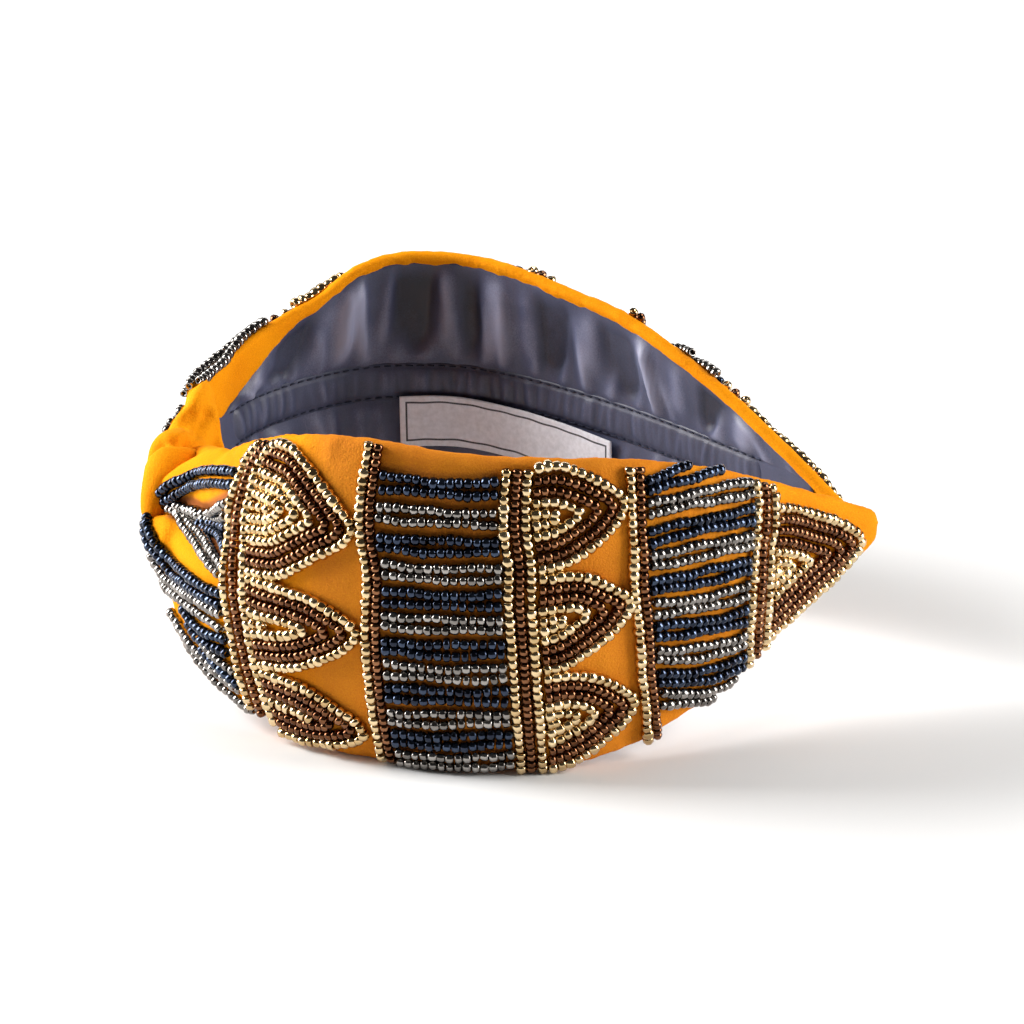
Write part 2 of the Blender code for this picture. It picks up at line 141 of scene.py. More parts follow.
FAR_SECTIONS = tuple(Section(*row) for row in (
    (-63.0, 15.0, -14.6, -71.6, 15.8, 14.8, 2.2, 12.5, 8.0),
    (-61.8, 18.5, -15.8, -72.2, 20.5, 15.0, 3.0, 12.5, 6.4),
    (-60.3, 26.0, -18.8, -71.0, 28.5, 15.6, 3.8, 12.5, 4.2),
    (-57.5, 36.0, -23.0, -66.5, 38.0, 17.2, 4.4, 12.0, RIM),
    (-54.0, 45.0, -26.8, -61.0, 47.5, 19.6, 5.0, 10.0, 2.4),
    (-49.0, 53.0, -30.0, -54.5, 55.5, 21.6, 5.0, 4.5, WALL),
    (-44.0, 59.5, -32.9, -48.0, 61.0, 24.0, 5.0, 3.0, WALL),
    (-38.5, 65.0, -34.5, -40.5, 65.5, 29.0, 5.0, 3.0, WALL),
    (-30.0, 68.5, -34.5, -31.0, 68.5, 31.7, 5.0, 3.0, WALL),
    (-17.0, 68.5, -34.5, -17.0, 68.5, 32.0, 5.0, 3.0, WALL),
    (-4.0, 63.5, -34.5, -4.0, 63.5, 31.0, 4.5, 3.0, WALL),
    (8.0, 56.0, -33.0, 8.0, 56.0, 29.0, 4.0, 3.0, WALL),
    (20.0, 47.0, -30.2, 20.0, 47.0, 27.3, 3.5, 3.0, WALL),
    (33.0, 35.5, -25.2, 33.0, 35.5, 22.8, 3.0, 3.0, WALL),
    (46.0, 23.5, -18.4, 46.0, 23.5, 16.6, 2.0, 3.0, WALL),
    (58.0, 12.0, -11.5, 58.0, 12.0, 9.4, 1.3, 3.0, WALL),
    (66.0, 5.0, -7.8, 66.0, 5.0, 3.9, 0.6, 3.0, 2.4),
    (71.5, 0.8, -5.6, 71.5, 0.8, 0.2, 0.0, 2.6, RIM),
))


@dataclass(frozen=True)
class RollPoint:
    """One point of a roll of gathered cloth in the knot, with the roll's half sizes there."""

    x: float
    y: float
    z: float
    half_depth: float
    half_height: float


# The rolls of the near arm; the far arm's are the same, turned half a turn about the X axis.
KNOT_ROLLS = tuple(tuple(RollPoint(*row) for row in roll) for roll in (
    ((-57.0, -25.0, 12.6, 2.0, 6.4), (-60.8, -19.0, 11.2, 3.4, 5.9),
     (-64.6, -15.2, 8.9, 3.8, 5.0), (-68.2, -12.4, 6.9, 3.5, 3.9),
     (-71.2, -10.6, 5.2, 2.7, 2.6), (-73.4, -9.2, 3.2, 2.0, 1.7),
     (-72.4, -6.5, 1.6, 1.9, 1.8), (-68.5, -3.0, 2.0, 2.6, 2.6)),
    ((-64.5, -25.0, -8.6, 2.0, 9.0), (-68.5, -18.5, -7.8, 3.4, 9.4),
     (-70.3, -16.0, -6.6, 3.6, 9.0), (-72.2, -13.6, -5.4, 3.3, 8.0),
     (-74.0, -11.8, -4.0, 2.6, 5.8), (-75.0, -10.2, -2.8, 1.9, 3.2),
     (-73.0, -7.5, -2.6, 2.0, 2.4)),
    ((-65.0, -24.0, -8.5, 1.8, 6.0), (-68.5, -17.5, -8.4, 4.0, 6.0),
     (-69.8, -11.0, -7.2, 4.2, 4.8), (-71.0, -6.0, -6.8, 5.5, 6.2),
     (-71.8, -0.5, -6.5, 6.1, 7.0), (-72.8, 4.6, -5.2, 5.2, 5.9),
     (-74.2, 9.4, -3.0, 3.8, 4.4), (-75.0, 12.0, 0.2, 2.6, 3.0),
     (-73.4, 11.0, 2.8, 2.0, 2.2), (-71.0, 7.0, 4.2, 2.6, 2.8),
     (-66.5, 2.0, 5.6, 3.8, 4.0), (-63.4, -3.0, 6.8, 4.2, 4.8),
     (-61.6, -10.0, 8.0, 3.8, 5.2), (-58.6, -18.0, 9.0, 2.6, 6.0)),
    ((-60.5, -24.0, 4.4, 2.0, 5.0), (-64.8, -16.5, 2.6, 3.0, 4.4),
     (-68.6, -12.4, 1.4, 2.8, 3.4), (-71.8, -9.8, 0.6, 2.0, 2.4),
     (-73.2, -7.8, 0.0, 1.4, 1.6)),
))


@dataclass(frozen=True)
class Crease:
    """A pressed line in the knot's cloth, as table points of the far arm."""

    line: tuple[Point, ...]
    depth: float
    width: float


KNOT_CREASES = (
    Crease(((-78.0, -1.8, 9.6), (-76.5, -2.0, 11.2), (-74.5, -2.2, 12.2), (-72.3, -2.6, 12.6),
            (-70.6, -2.4, 12.5), (-69.1, -1.4, 12.2), (-67.4, 0.8, 11.3), (-66.0, 3.4, 9.4)), 1.9, 1.3),
    Crease(((-78.2, -1.6, 9.0), (-76.0, -2.0, 12.2)), 1.6, 1.8),
    Crease(((-68.2, 0.0, 11.8), (-66.8, 1.6, 10.9)), 1.7, 1.5),
    Crease(((-72.4, 7.8, 12.1), (-69.3, 10.6, 12.7)), 1.4, 3.0),
    Crease(((-67.4, 3.6, 11.3), (-66.8, 9.0, 10.9), (-66.4, 13.8, 12.2)), 1.0, 1.2),
    Crease(((-68.4, 1.6, 11.9), (-69.4, 6.0, 12.6)), 0.7, 1.1),
)


def place(points: Array) -> Array:
    """Turn table points into the part's frame.

    Args:
        points: one point or rows of points, in millimetres.

    Returns:
        The same points in metres above the floor.
    """
    return (np.asarray(points, dtype=float) + TO_FLOOR) * MM


def bell(values: Array, middle: float, width: float) -> Array:
    """Return a smooth bump of height 1 round a middle value."""
    return np.exp(-((np.asarray(values) - middle) / width) ** 2)


def ease(values: Array, start: float, end: float) -> Array:
    """Return a smooth rise from 0 at start to 1 at end, for each value.

    Args:
        values: where the rise is wanted.
        start: the value up to which it is 0.
        end: the value from which it is 1.

    Returns:
        Shares between 0 and 1.
    """
    part = np.clip((np.asarray(values) - start) / (end - start), 0.0, 1.0)
    return part * part * (3 - 2 * part)


def curve_through(points: Array, steps: int) -> Array:
    """Return a smooth line through points.

    Args:
        points: rows of any number of columns.
        steps: new rows for each span.

    Returns:
        Rows along a Catmull-Rom curve, the last point included.
    """
    rows = np.asarray(points, dtype=float)
    padded = np.vstack([2 * rows[0] - rows[1], rows, 2 * rows[-1] - rows[-2]])
    made = []
    for index in range(1, len(padded) - 2):
        before, here, there, after = padded[index - 1:index + 3]
        for step in range(steps):
            u = step / steps
            made.append(0.5 * (2 * here + (there - before) * u
                               + (2 * before - 5 * here + 4 * there - after) * u**2
                               + (3 * here - before - 3 * there + after) * u**3))
    made.append(rows[-1])
    return np.array(made)


def even_line(points: Array, step: float) -> Array:
    """Return a line resampled at even spacing.

    Args:
        points: rows of a polyline.
        step: the spacing, in the points' unit.

    Returns:
        Evenly spaced rows with both ends kept.
    """
    rows = np.asarray(points, dtype=float)
    lengths = np.concatenate([[0.0], np.cumsum(np.linalg.norm(np.diff(rows, axis=0), axis=1))])
    count = max(2, round(lengths[-1] / step) + 1)
    wanted = np.linspace(0.0, lengths[-1], count)
    return np.stack([np.interp(wanted, lengths, column) for column in rows.T], axis=1)


def softened(rows: Array, rounds: int) -> Array:
    """Average a line's inner points with their neighbours.

    Args:
        rows: the points.
        rounds: how often it is done.

    Returns:
        A smoother line with the same ends.
    """
    rows = np.array(rows, dtype=float)
    for _ in range(rounds if len(rows) > 2 else 0):
        rows[1:-1] = rows[1:-1] * 0.5 + (rows[:-2] + rows[2:]) * 0.25
    return rows


def mesh_object(name: str, points: Array, faces: list) -> Piece:
    """Make a mesh object at the origin.

    Args:
        name: the object's name.
        points: places in metres.
        faces: index rows, or pairs for bare edges.

    Returns:
        The new object, linked to the scene.
    """
    mesh = bpy.data.meshes.new(name)
    edges = [row for row in faces if len(row) == 2]
    mesh.from_pydata([tuple(point) for point in points], edges,
                     [row for row in faces if len(row) > 2])
    mesh.update()
    made = bpy.data.objects.new(name, mesh)
    bpy.context.scene.collection.objects.link(made)
    return made


def grid_faces(rows: int, columns: int, closed: bool) -> list[tuple[int, ...]]:
    """List the quads of a grid of points.

    Args:
        rows: number of rows.
        columns: points in each row.
        closed: whether the last column joins the first.

    Returns:
        One index row for each quad.
    """
    faces = []
    for row in range(rows - 1):
        for column in range(columns if closed else columns - 1):
            after = (column + 1) % columns
            here = row * columns
            faces.append((here + column, here + after,
                          here + columns + after, here + columns + column))
    return faces


def closed_tube(rings: list[Array]) -> tuple[Array, list[tuple[int, ...]]]:
    """Join closed rings of points into a tube whose ends are fans to their middles.

    Args:
        rings: rings with the same number of points each.

    Returns:
        All points, the two middles last, and the faces.
    """
    width = len(rings[0])
    points = np.vstack([*rings, rings[0].mean(axis=0), rings[-1].mean(axis=0)])
    faces = grid_faces(len(rings), width, closed=True)
    last = (len(rings) - 1) * width
    for index in range(width):
        after = (index + 1) % width
        faces.append((len(points) - 2, after, index))
        faces.append((len(points) - 1, last + index, last + after))
    return points, faces


def point_values(made: Piece, name: str, values: Array) -> None:
    """Store one value for each point of a mesh, for its material to read."""
    layer = made.data.attributes.new(name, "FLOAT", "POINT")
    layer.data.foreach_set("value", np.asarray(values, dtype=np.float32))


def applied(made: Piece) -> Piece:
    """Replace an object's mesh by its evaluated one and remove its modifiers.

    Args:
        made: the object.

    Returns:
        The same object, with a plain mesh.
    """
    graph = bpy.context.evaluated_depsgraph_get()
    mesh = bpy.data.meshes.new_from_object(made.evaluated_get(graph))
    made.modifiers.clear()
    old = made.data
    made.data = mesh
    bpy.data.meshes.remove(old)
    mesh.name = made.name
    return made


def outward_faces(made: Piece) -> Piece:
    """Turn a closed mesh's faces to point out and shade it smooth.

    Args:
        made: the object.

    Returns:
        The same object.
    """
    builder = bmesh.new()
    builder.from_mesh(made.data)
    bmesh.ops.recalc_face_normals(builder, faces=builder.faces)
    builder.to_mesh(made.data)
    builder.free()
    made.data.shade_smooth()
    return made


def thickened(made: Piece, thickness: float) -> Piece:
    """Make an open sheet a closed one.

    Args:
        made: the sheet.
        thickness: its thickness in millimetres, half on each side.

    Returns:
        The same object.
    """
    thick = made.modifiers.new("cloth", "SOLIDIFY")
    thick.thickness = thickness * MM
    thick.offset = 0.0
    return outward_faces(applied(made))


def own(piece: Piece, slot: str, *nodes: str) -> None:
    """Hide the solids that a piece replaces and attach the piece to the body.

    Args:
        piece: the piece.
        slot: its finish's slot in the record; not used.
        nodes: the solids that it replaces, if any.
    """
    if nodes:
        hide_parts(*nodes)
    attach(piece, BODY)


class Sculpt:
    """Vertex moves on a dense mesh, in table points."""

    FORTH = 0.5
    BACK = 0.52

    def __init__(self, made: Piece):
        """Read a mesh.

        Args:
            made: the object that has it.
        """
        self.made = made
        mesh = made.data
        flat = np.zeros(len(mesh.vertices) * 3)
        mesh.vertices.foreach_get("co", flat)
        self.points = flat.reshape(-1, 3) / MM - TO_FLOOR
        pairs = np.zeros(len(mesh.edges) * 2, dtype=np.int64)
        mesh.edges.foreach_get("vertices", pairs)
        self.pairs = pairs.reshape(-1, 2)
        self.counts = np.bincount(self.pairs.ravel(), minlength=len(self.points)).astype(float)

    def pull(self) -> Array:
        """Work out how far each point is from the middle of its neighbours.

        Returns:
            The step from each point to that middle.
        """
        total = np.zeros_like(self.points)
        for axis in range(3):
            first = self.points[self.pairs[:, 0], axis]
            second = self.points[self.pairs[:, 1], axis]
            total[:, axis] = (np.bincount(self.pairs[:, 0], second, len(self.points))
                              + np.bincount(self.pairs[:, 1], first, len(self.points)))
        return total / np.maximum(self.counts, 1.0)[:, None] - self.points

    def relax(self, rounds: int) -> None:
        """Smooth the mesh, each pass followed by one back that keeps the volume."""
        for _ in range(rounds):
            self.points += self.pull() * self.FORTH
            self.points -= self.pull() * self.BACK

    def shrink(self, rounds: int, strength: Array) -> None:
        """Smooth the mesh with no pass back, by a strength for each point."""
        for _ in range(rounds):
            self.points += self.pull() * self.FORTH * strength[:, None]

    def normals(self) -> Array:
        """Work out the unit normals of the points as they are.

        Returns:
            One normal for each point.
        """
        self.write()
        flat = np.zeros(len(self.points) * 3)
        self.made.data.vertex_normals.foreach_get("vector", flat)
        return flat.reshape(-1, 3)

    def push(self, amount: Array) -> None:
        """Move each point along its normal by an amount in millimetres."""
        self.points += self.normals() * np.asarray(amount)[:, None]

    def write(self) -> None:
        """Put the points back into the mesh."""
        self.made.data.vertices.foreach_set("co", place(self.points).ravel())
        self.made.data.update()


@dataclass
class Arm:
    """The smooth outer face of one cloth arm, evaluated at many places at once.

    A run is the way along the arm from the knot, and a share is a height from -1 at the low rim to 1
    at the high rim. The folds that run out of the knot are one valley, two swells and a groove.
    """

    name: str
    side: float
    sections: tuple[Section, ...]
    valley_share: float = 0.31
    valley_depth: float = 4.4
    valley_widths: Pair = (0.12, 0.21)
    valley_ends: Pair = (25.0, 38.0)
    swells: tuple[tuple[float, float, float], ...] = ((0.66, 0.17, 1.1), (-0.06, 0.13, 1.2))
    groove: Pair = (-0.48, 0.09)
    ripple_ends: Pair = (24.0, 46.0)
    hem_gap: float = 0.9
    least_hem: float = 2.2
    least_wall: float = 1.3

    def __post_init__(self) -> None:
        """Work out the run of each section and the slopes between them."""
        self.rows = np.array([astuple(section) for section in self.sections])
        middle = (self.rows[:, 0:3] + self.rows[:, 3:6]) / 2
        steps = np.linalg.norm(np.diff(middle, axis=0), axis=1)
        steps *= PATTERN_LENGTH / steps.sum()
        self.stations = KNOT_REACH + np.concatenate([[0.0], np.cumsum(steps)])
        self.length = float(self.stations[-1])
        self.slopes = np.zeros_like(self.rows)
        spans = (self.stations[2:] - self.stations[:-2])[:, None]
        self.slopes[1:-1] = (self.rows[2:] - self.rows[:-2]) / spans
        self.slopes[0] = (self.rows[1] - self.rows[0]) / steps[0]
        self.slopes[-1] = (self.rows[-1] - self.rows[-2]) / steps[-1]

    def at(self, runs: Array) -> Array:
        """Work out the arm's section at runs.

        Args:
            runs: one run or several.

        Returns:
            One row for each run, in the order of a Section's values.
        """
        runs = np.clip(np.atleast_1d(np.asarray(runs, dtype=float)), KNOT_REACH, self.length)
        index = np.clip(np.searchsorted(self.stations, runs, side="right") - 1,
                        0, len(self.rows) - 2)
        span = (self.stations[index + 1] - self.stations[index])[:, None]
        u = (runs - self.stations[index])[:, None] / span
        values = (2 * u**3 - 3 * u**2 + 1) * self.rows[index]
        values += (u**3 - 2 * u**2 + u) * span * self.slopes[index]
        values += (3 * u**2 - 2 * u**3) * self.rows[index + 1]
        values += (u**3 - u**2) * span * self.slopes[index + 1]
        values[:, LOW_Z] = np.maximum(values[:, LOW_Z], -MID_PLANE)
        values[:, BULGE] = np.maximum(values[:, BULGE], 0.0)
        values[:, DEEP] = np.maximum(values[:, DEEP], WALL)
        return values

    def outward(self, runs: Array) -> Array:
        """Work out which way the arm's outer face looks, seen from above.

        Args:
            runs: one run or several.

        Returns:
            One horizontal unit vector for each run.
        """
        runs = np.atleast_1d(np.asarray(runs, dtype=float))
        ahead = self.at(runs + 0.5)
        behind = self.at(runs - 0.5)
        along = ahead[:, 0:2] + ahead[:, 3:5] - behind[:, 0:2] - behind[:, 3:5]
        along /= np.linalg.norm(along, axis=1)[:, None]
        return np.stack([along[:, 1], -along[:, 0], np.zeros(len(runs))], axis=1) * self.side

    def height(self, runs: Array) -> Array:
        """Return the heights from rim to rim at runs."""
        values = self.at(runs)
        return values[:, HIGH_Z] - values[:, LOW_Z]

    def hem(self, runs: Array) -> Array:
        """Return the widths of the hems at runs, less where the arm is too low for them."""
        return np.minimum(self.at(runs)[:, HEM], self.height(runs) / 2 - self.hem_gap)

    def run_near(self, points: Array) -> Array:
        """Find the runs that lie nearest to some points, seen from above.

        Args:
            points: rows of table points.

        Returns:
            One run for each point.
        """
        line = np.linspace(KNOT_REACH, self.length, 120)
        values = self.at(line)
        middle = (values[:, 0:2] + values[:, 3:5]) / 2
        spans = np.linalg.norm(points[:, None, :2] - middle[None, :, :], axis=2)
        return line[spans.argmin(axis=1)]

    def share_of_level(self, runs: Array, level: float) -> Array:
        """Return the shares of a height from the mid-plane at runs."""
        return 2 * (level - self.at(runs)[:, LOW_Z]) / self.height(runs) - 1

    def sink(self, runs: Array, shares: Array) -> Array:
        """Work out how far the outer face sinks in the folds near the knot.

        Args:
            runs: runs of the places.
            shares: shares of the places.

        Returns:
            Millimetres behind the smooth face, less than 0 on a swell.
        """
        shares = np.asarray(shares) * self.side
        open_end = 1 - ease(runs, *self.valley_ends)
        soft_end = 1 - ease(runs, *self.ripple_ends)
        width = np.where(shares > self.valley_share, *self.valley_widths)
        valley = (self.valley_depth * open_end
                  * np.exp(-((shares - self.valley_share) / width) ** 2))
        swell = sum(height * bell(shares, middle, wide) for middle, wide, height in self.swells)
        return valley + soft_end * (bell(shares, *self.groove) - swell)

    def inner(self, runs: Array, shares: Array) -> tuple[Array, Array]:
        """Work out the two depths of the arm's inner side.

        Args:
            runs: runs of the places.
            shares: shares of the places.

        Returns:
            The depths of the hem's face and of the recessed face between the hems.
        """
        wall = self.at(np.ravel(runs))[:, DEEP].reshape(np.shape(runs))
        sunk = self.sink(runs, shares)
        hem = np.maximum(np.maximum(RIM, wall), sunk + self.least_hem)
        return hem, np.minimum(np.maximum(wall, sunk + self.least_wall), hem - self.least_wall)

    def point(self, runs: Array, shares: Array, depth: Array) -> Array:
        """Work out places on the arm.

        Args:
            runs: their runs; one below the knot's reach goes straight on.
            shares: their shares.
            depth: millimetres behind the smooth outer face.

        Returns:
            Rows of table points.
        """
        runs, shares, depth = np.broadcast_arrays(np.atleast_1d(runs).astype(float), shares, depth)
        values = self.at(runs)
        blend = ((1 + shares) / 2)[:, None]
        out = values[:, BULGE] * (1 - shares**2) - depth
        facing = self.outward(np.maximum(runs, KNOT_REACH))
        along = np.stack([-facing[:, 1], facing[:, 0], facing[:, 2]], axis=1) * self.side
        beyond = np.minimum(runs - KNOT_REACH, 0.0)
        return (values[:, 0:3] * (1 - blend) + values[:, 3:6] * blend
                + facing * out[:, None] + along * beyond[:, None])


class NodeBuilder:
    """Short calls for adding nodes to a tree."""

    def __init__(self, tree: bpy.types.NodeTree):
        """Keep the tree."""
        self.tree = tree

    def node(self, kind: str, links: dict | None = None, **values: object) -> bpy.types.Node:
        """Add a node.

        Args:
            kind: the node's type.
            links: input socket to output socket or fixed value.
            values: properties of the node.

        Returns:
            The node.
        """
        made = self.tree.nodes.new(kind)
        for name, value in values.items():
            setattr(made, name, value)
        for socket, source in (links or {}).items():
            if isinstance(source, Socket):
                self.tree.links.new(source, made.inputs[socket])
            else:
                made.inputs[socket].default_value = source
        return made

    def math(self, operation: str, first: object, second: object = 0.0) -> Socket:
        """Add a math node and return its output."""
        return self.node("ShaderNodeMath", {0: first, 1: second}, operation=operation).outputs[0]


class Shader(NodeBuilder):
    """One procedural material round a Principled shader."""

    def __init__(self, name: str, colour: Colour, roughness: float, metallic: float = 0.0):
        """Start the material.

        Args:
            name: its name.
            colour: its plain colour.
            roughness: how rough it is.
            metallic: how metallic it is.
        """
        self.material = bpy.data.materials.new(name)
        self.material.use_nodes = True
        super().__init__(self.material.node_tree)
        self.principled = self.tree.nodes["Principled BSDF"]
        self.set("Base Color", (*colour, 1.0))
        self.set("Roughness", roughness)
        self.set("Metallic", metallic)
        self.material.diffuse_color = (*colour, 1.0)

    def set(self, socket: str, value: object) -> None:
        """Give a socket of the Principled shader a fixed value."""
        self.principled.inputs[socket].default_value = value

    def plug(self, socket: str, source: Socket) -> None:
        """Link a source to a socket of the Principled shader."""
        self.tree.links.new(source, self.principled.inputs[socket])

    def sheen(self, weight: float, roughness: float, tint: Colour) -> None:
        """Set the soft shine of cloth."""
        self.set("Sheen Weight", weight)
        self.set("Sheen Roughness", roughness)
        self.set("Sheen Tint", (*tint, 1.0))

    def ramp(self, source: Socket, stops: list) -> Socket:
        """Add a colour ramp.

        Args:
            source: the value that picks the colour.
            stops: (position, colour) pairs.

        Returns:
            The colour.
        """
        made = self.node("ShaderNodeValToRGB", {0: source})
        ramp = made.color_ramp
        for index, (position, colour) in enumerate(stops):
            stop = ramp.elements[index] if index < 2 else ramp.elements.new(position)
            stop.position = position
            stop.color = (*colour, 1.0)
        return made.outputs[0]

    def objects(self) -> Socket:
        """Return the object coordinates."""
        return self.node("ShaderNodeTexCoord").outputs["Object"]

    def noise(self, scale: float, detail: float = 2.0) -> Socket:
        """Add a noise texture in object coordinates and return its value."""
        return self.node("ShaderNodeTexNoise", {"Vector": self.objects(), "Scale": scale,
                                                "Detail": detail}).outputs[0]

    def stored(self, name: str) -> Socket:
        """Return a value that is stored on the mesh."""
        return self.node("ShaderNodeAttribute", attribute_name=name).outputs["Fac"]

    def shared(self, first: object, share: float, second: object) -> Socket:
        """Add a share of one value to the rest of a second one and return the sum."""
        return self.math("ADD", self.math("MULTIPLY", first, share),
                         self.math("MULTIPLY", second, 1 - share))

    def spread(self, source: Socket, given: Pair, wanted: Pair) -> Socket:
        """Map a value from one range to another and return the result."""
        return self.node("ShaderNodeMapRange", {"Value": source, "From Min": given[0],
                                                "From Max": given[1], "To Min": wanted[0],
                                                "To Max": wanted[1]}).outputs[0]

    def covered(self, source: Socket, colour: Colour, share: Socket) -> Socket:
        """Lay a fixed colour over a colour by a share and return the result."""
        return self.node("ShaderNodeMix", {"Factor": share, 6: source, 7: (*colour, 1.0)},
                         data_type="RGBA").outputs[2]

    def bump(self, height: Socket, strength: float, distance: float) -> None:
        """Bend the shader's normal by a height."""
        made = self.node("ShaderNodeBump", {"Height": height, "Strength": strength,
                                            "Distance": distance})
        self.plug("Normal", made.outputs[0])


@dataclass(frozen=True)
class CrepeFinish:
    """Matt mustard crepe with a fine pebbled grain, and painted shade where its stored shade value says
    so.
    """

    colour: Colour = (0.8, 0.265, 0.003)
    deep: Colour = (0.67, 0.19, 0.003)
    light: Colour = (0.9, 0.345, 0.006)
    # The colour of the painted shade laid on the cloth under the strands and on the near arm's front.
    painted_shadow: Colour = (0.3, 0.085, 0.035)
    grain: float = 3600.0
    weave: float = 2100.0
    cloud: float = 70.0
    grain_share: float = 0.62
    roughness: float = 0.78
    sheen: float = 0.03
    sheen_roughness: float = 0.4
    sheen_tint: Colour = (1.0, 0.4, 0.02)
    specular: float = 0.04
    weave_bump: float = 0.8
    bump: float = 0.6
    bump_height: float = 0.0002

    def material(self) -> Material:
        """Build the material.

        Returns:
            The material.
        """
        shade = Shader("mustard_crepe", self.colour, self.roughness)
        shade.sheen(self.sheen, self.sheen_roughness, self.sheen_tint)
        shade.set("Specular IOR Level", self.specular)
        grain = shade.noise(self.grain, 3.0)
        weave = shade.node("ShaderNodeTexVoronoi", {"Vector": shade.objects(), "Scale": self.weave},
                           feature="SMOOTH_F1").outputs[0]
        plain = shade.ramp(shade.shared(grain, self.grain_share, shade.noise(self.cloud)),
                           [(0.3, self.deep), (0.7, self.light), (0.5, self.colour)])
        # Painted shade: the cloth is darkened towards the shadow colour under the strands and on the
        # near arm's front.
        shade.plug("Base Color", shade.covered(plain, self.painted_shadow, shade.stored("painted_shade")))
        shade.bump(shade.math("ADD", grain, shade.math("MULTIPLY", weave, self.weave_bump)),
                   self.bump, self.bump_height)
        return shade.material


@dataclass(frozen=True)
class SatinFinish:
    """Slate blue-grey satin with a soft sheen, and painted light and shade on its folds and in cloudy
    patches.
    """

    deep: Colour = (0.009, 0.011, 0.026)
    colour: Colour = (0.066, 0.074, 0.132)
    light: Colour = (0.27, 0.28, 0.39)
    thread: float = 3200.0
    cloud: float = 60.0
    thread_share: float = 0.3
    weave_and_shade_share: float = 0.45
    plain_roughness: float = 0.5
    roughness: Pair = (0.42, 0.56)
    specular: float = 0.5
    sheen: float = 0.12
    sheen_roughness: float = 0.35
    sheen_tint: Colour = (0.6, 0.66, 0.85)
    cloud_bump: float = 0.5
    bump: float = 0.25
    bump_height: float = 0.00009

    def material(self) -> Material:
        """Build the material.

        Returns:
            The material.
        """
        shade = Shader("slate_satin", self.colour, self.plain_roughness)
        shade.sheen(self.sheen, self.sheen_roughness, self.sheen_tint)
        shade.set("Specular IOR Level", self.specular)
        thread = shade.noise(self.thread)
        cloud = shade.noise(self.cloud, 3.0)
        # Fine weave noise plus a cloudy pattern of painted shade, mixed with the stored painted light
        # and shade of the folds.
        weave_and_painted_shade = shade.shared(thread, self.thread_share, cloud)
        mixed = shade.shared(weave_and_painted_shade, self.weave_and_shade_share, shade.stored("painted_fold_shading"))
        shade.plug("Base Color", shade.ramp(mixed, [(0.28, self.deep), (0.74, self.light),
                                                    (0.5, self.colour)]))
        shade.plug("Roughness", shade.spread(cloud, (0.3, 0.7), self.roughness))
        shade.bump(shade.math("ADD", thread, shade.math("MULTIPLY", cloud, self.cloud_bump)),
                   self.bump, self.bump_height)
        return shade.material


@dataclass(frozen=True)
class ThreadFinish:
    """Dull slate sewing thread."""

    colour: Colour = (0.03, 0.034, 0.055)
    roughness: float = 0.8
    specular: float = 0.15
    twist: float = 5200.0
    bump: float = 0.4
    bump_height: float = 0.00005

    def material(self) -> Material:
        """Build the material.

        Returns:
            The material.
        """
        shade = Shader("slate_thread", self.colour, self.roughness)
        shade.set("Specular IOR Level", self.specular)
        shade.bump(shade.noise(self.twist, 1.0), self.bump, self.bump_height)
        return shade.material


@dataclass(frozen=True)
class LabelFinish:
    """Pale grey ribbon cloth with a plain inset border line, in the label's own UV map."""

    colour: Colour = (0.8, 0.8, 0.86)
    line: Colour = (0.06, 0.06, 0.075)
    deep: float = 0.9
    light: float = 1.08
    inset: float = 1.5
    width: float = 0.42
    wave: float = 0.07
    wave_turn: float = 0.9
    rib: float = 0.3
    grain: float = 900.0
    roughness: float = 0.62
    sheen: float = 0.15
    rib_bump: float = 0.5
    bump: float = 0.3
    bump_height: float = 0.00008

    def border(self, shade: Shader, across: Socket, upward: Socket,
               length: float, height: float) -> Socket:
        """Add the nodes that draw the border line.

        Args:
            shade: the material.
            across: millimetres along the label.
            upward: millimetres up the label.
            length: the label's length.
            height: the label's height.

        Returns:
            1 on the line and 0 beside it.
        """
        nearest = shade.math("MINIMUM",
                             shade.math("MINIMUM", across, shade.math("SUBTRACT", length, across)),
                             shade.math("MINIMUM", upward, shade.math("SUBTRACT", height, upward)))
        turned = shade.math("SINE", shade.math("MULTIPLY", across, self.wave_turn))
        waved = shade.math("ADD", nearest, shade.math("MULTIPLY", turned, self.wave))
        off = shade.math("ABSOLUTE", shade.math("SUBTRACT", waved, self.inset))
        return shade.math("LESS_THAN", off, self.width / 2)

    def material(self, length: float, height: float) -> Material:
        """Build the material.

        Args:
            length: the label's length in millimetres.
            height: its height.

        Returns:
            The material.
        """
        shade = Shader("grey_ribbon", self.colour, self.roughness)
        shade.set("Sheen Weight", self.sheen)
        parts = shade.node("ShaderNodeSeparateXYZ",
                           {0: shade.node("ShaderNodeTexCoord").outputs["UV"]})
        across = shade.math("MULTIPLY", parts.outputs[0], length)
        upward = shade.math("MULTIPLY", parts.outputs[1], height)
        grain = shade.noise(self.grain)
        deep = tuple(self.deep * part for part in self.colour)
        light = tuple(min(1.0, self.light * part) for part in self.colour)
        cloth = shade.ramp(grain, [(0.3, deep), (0.7, light)])
        drawn = self.border(shade, across, upward, length, height)
        shade.plug("Base Color", shade.covered(cloth, self.line, drawn))
        rib = shade.math("SINE", shade.math("MULTIPLY", upward, 2 * math.pi / self.rib))
        shade.bump(shade.math("ADD", shade.math("MULTIPLY", rib, self.rib_bump), grain),
                   self.bump, self.bump_height)
        return shade.material


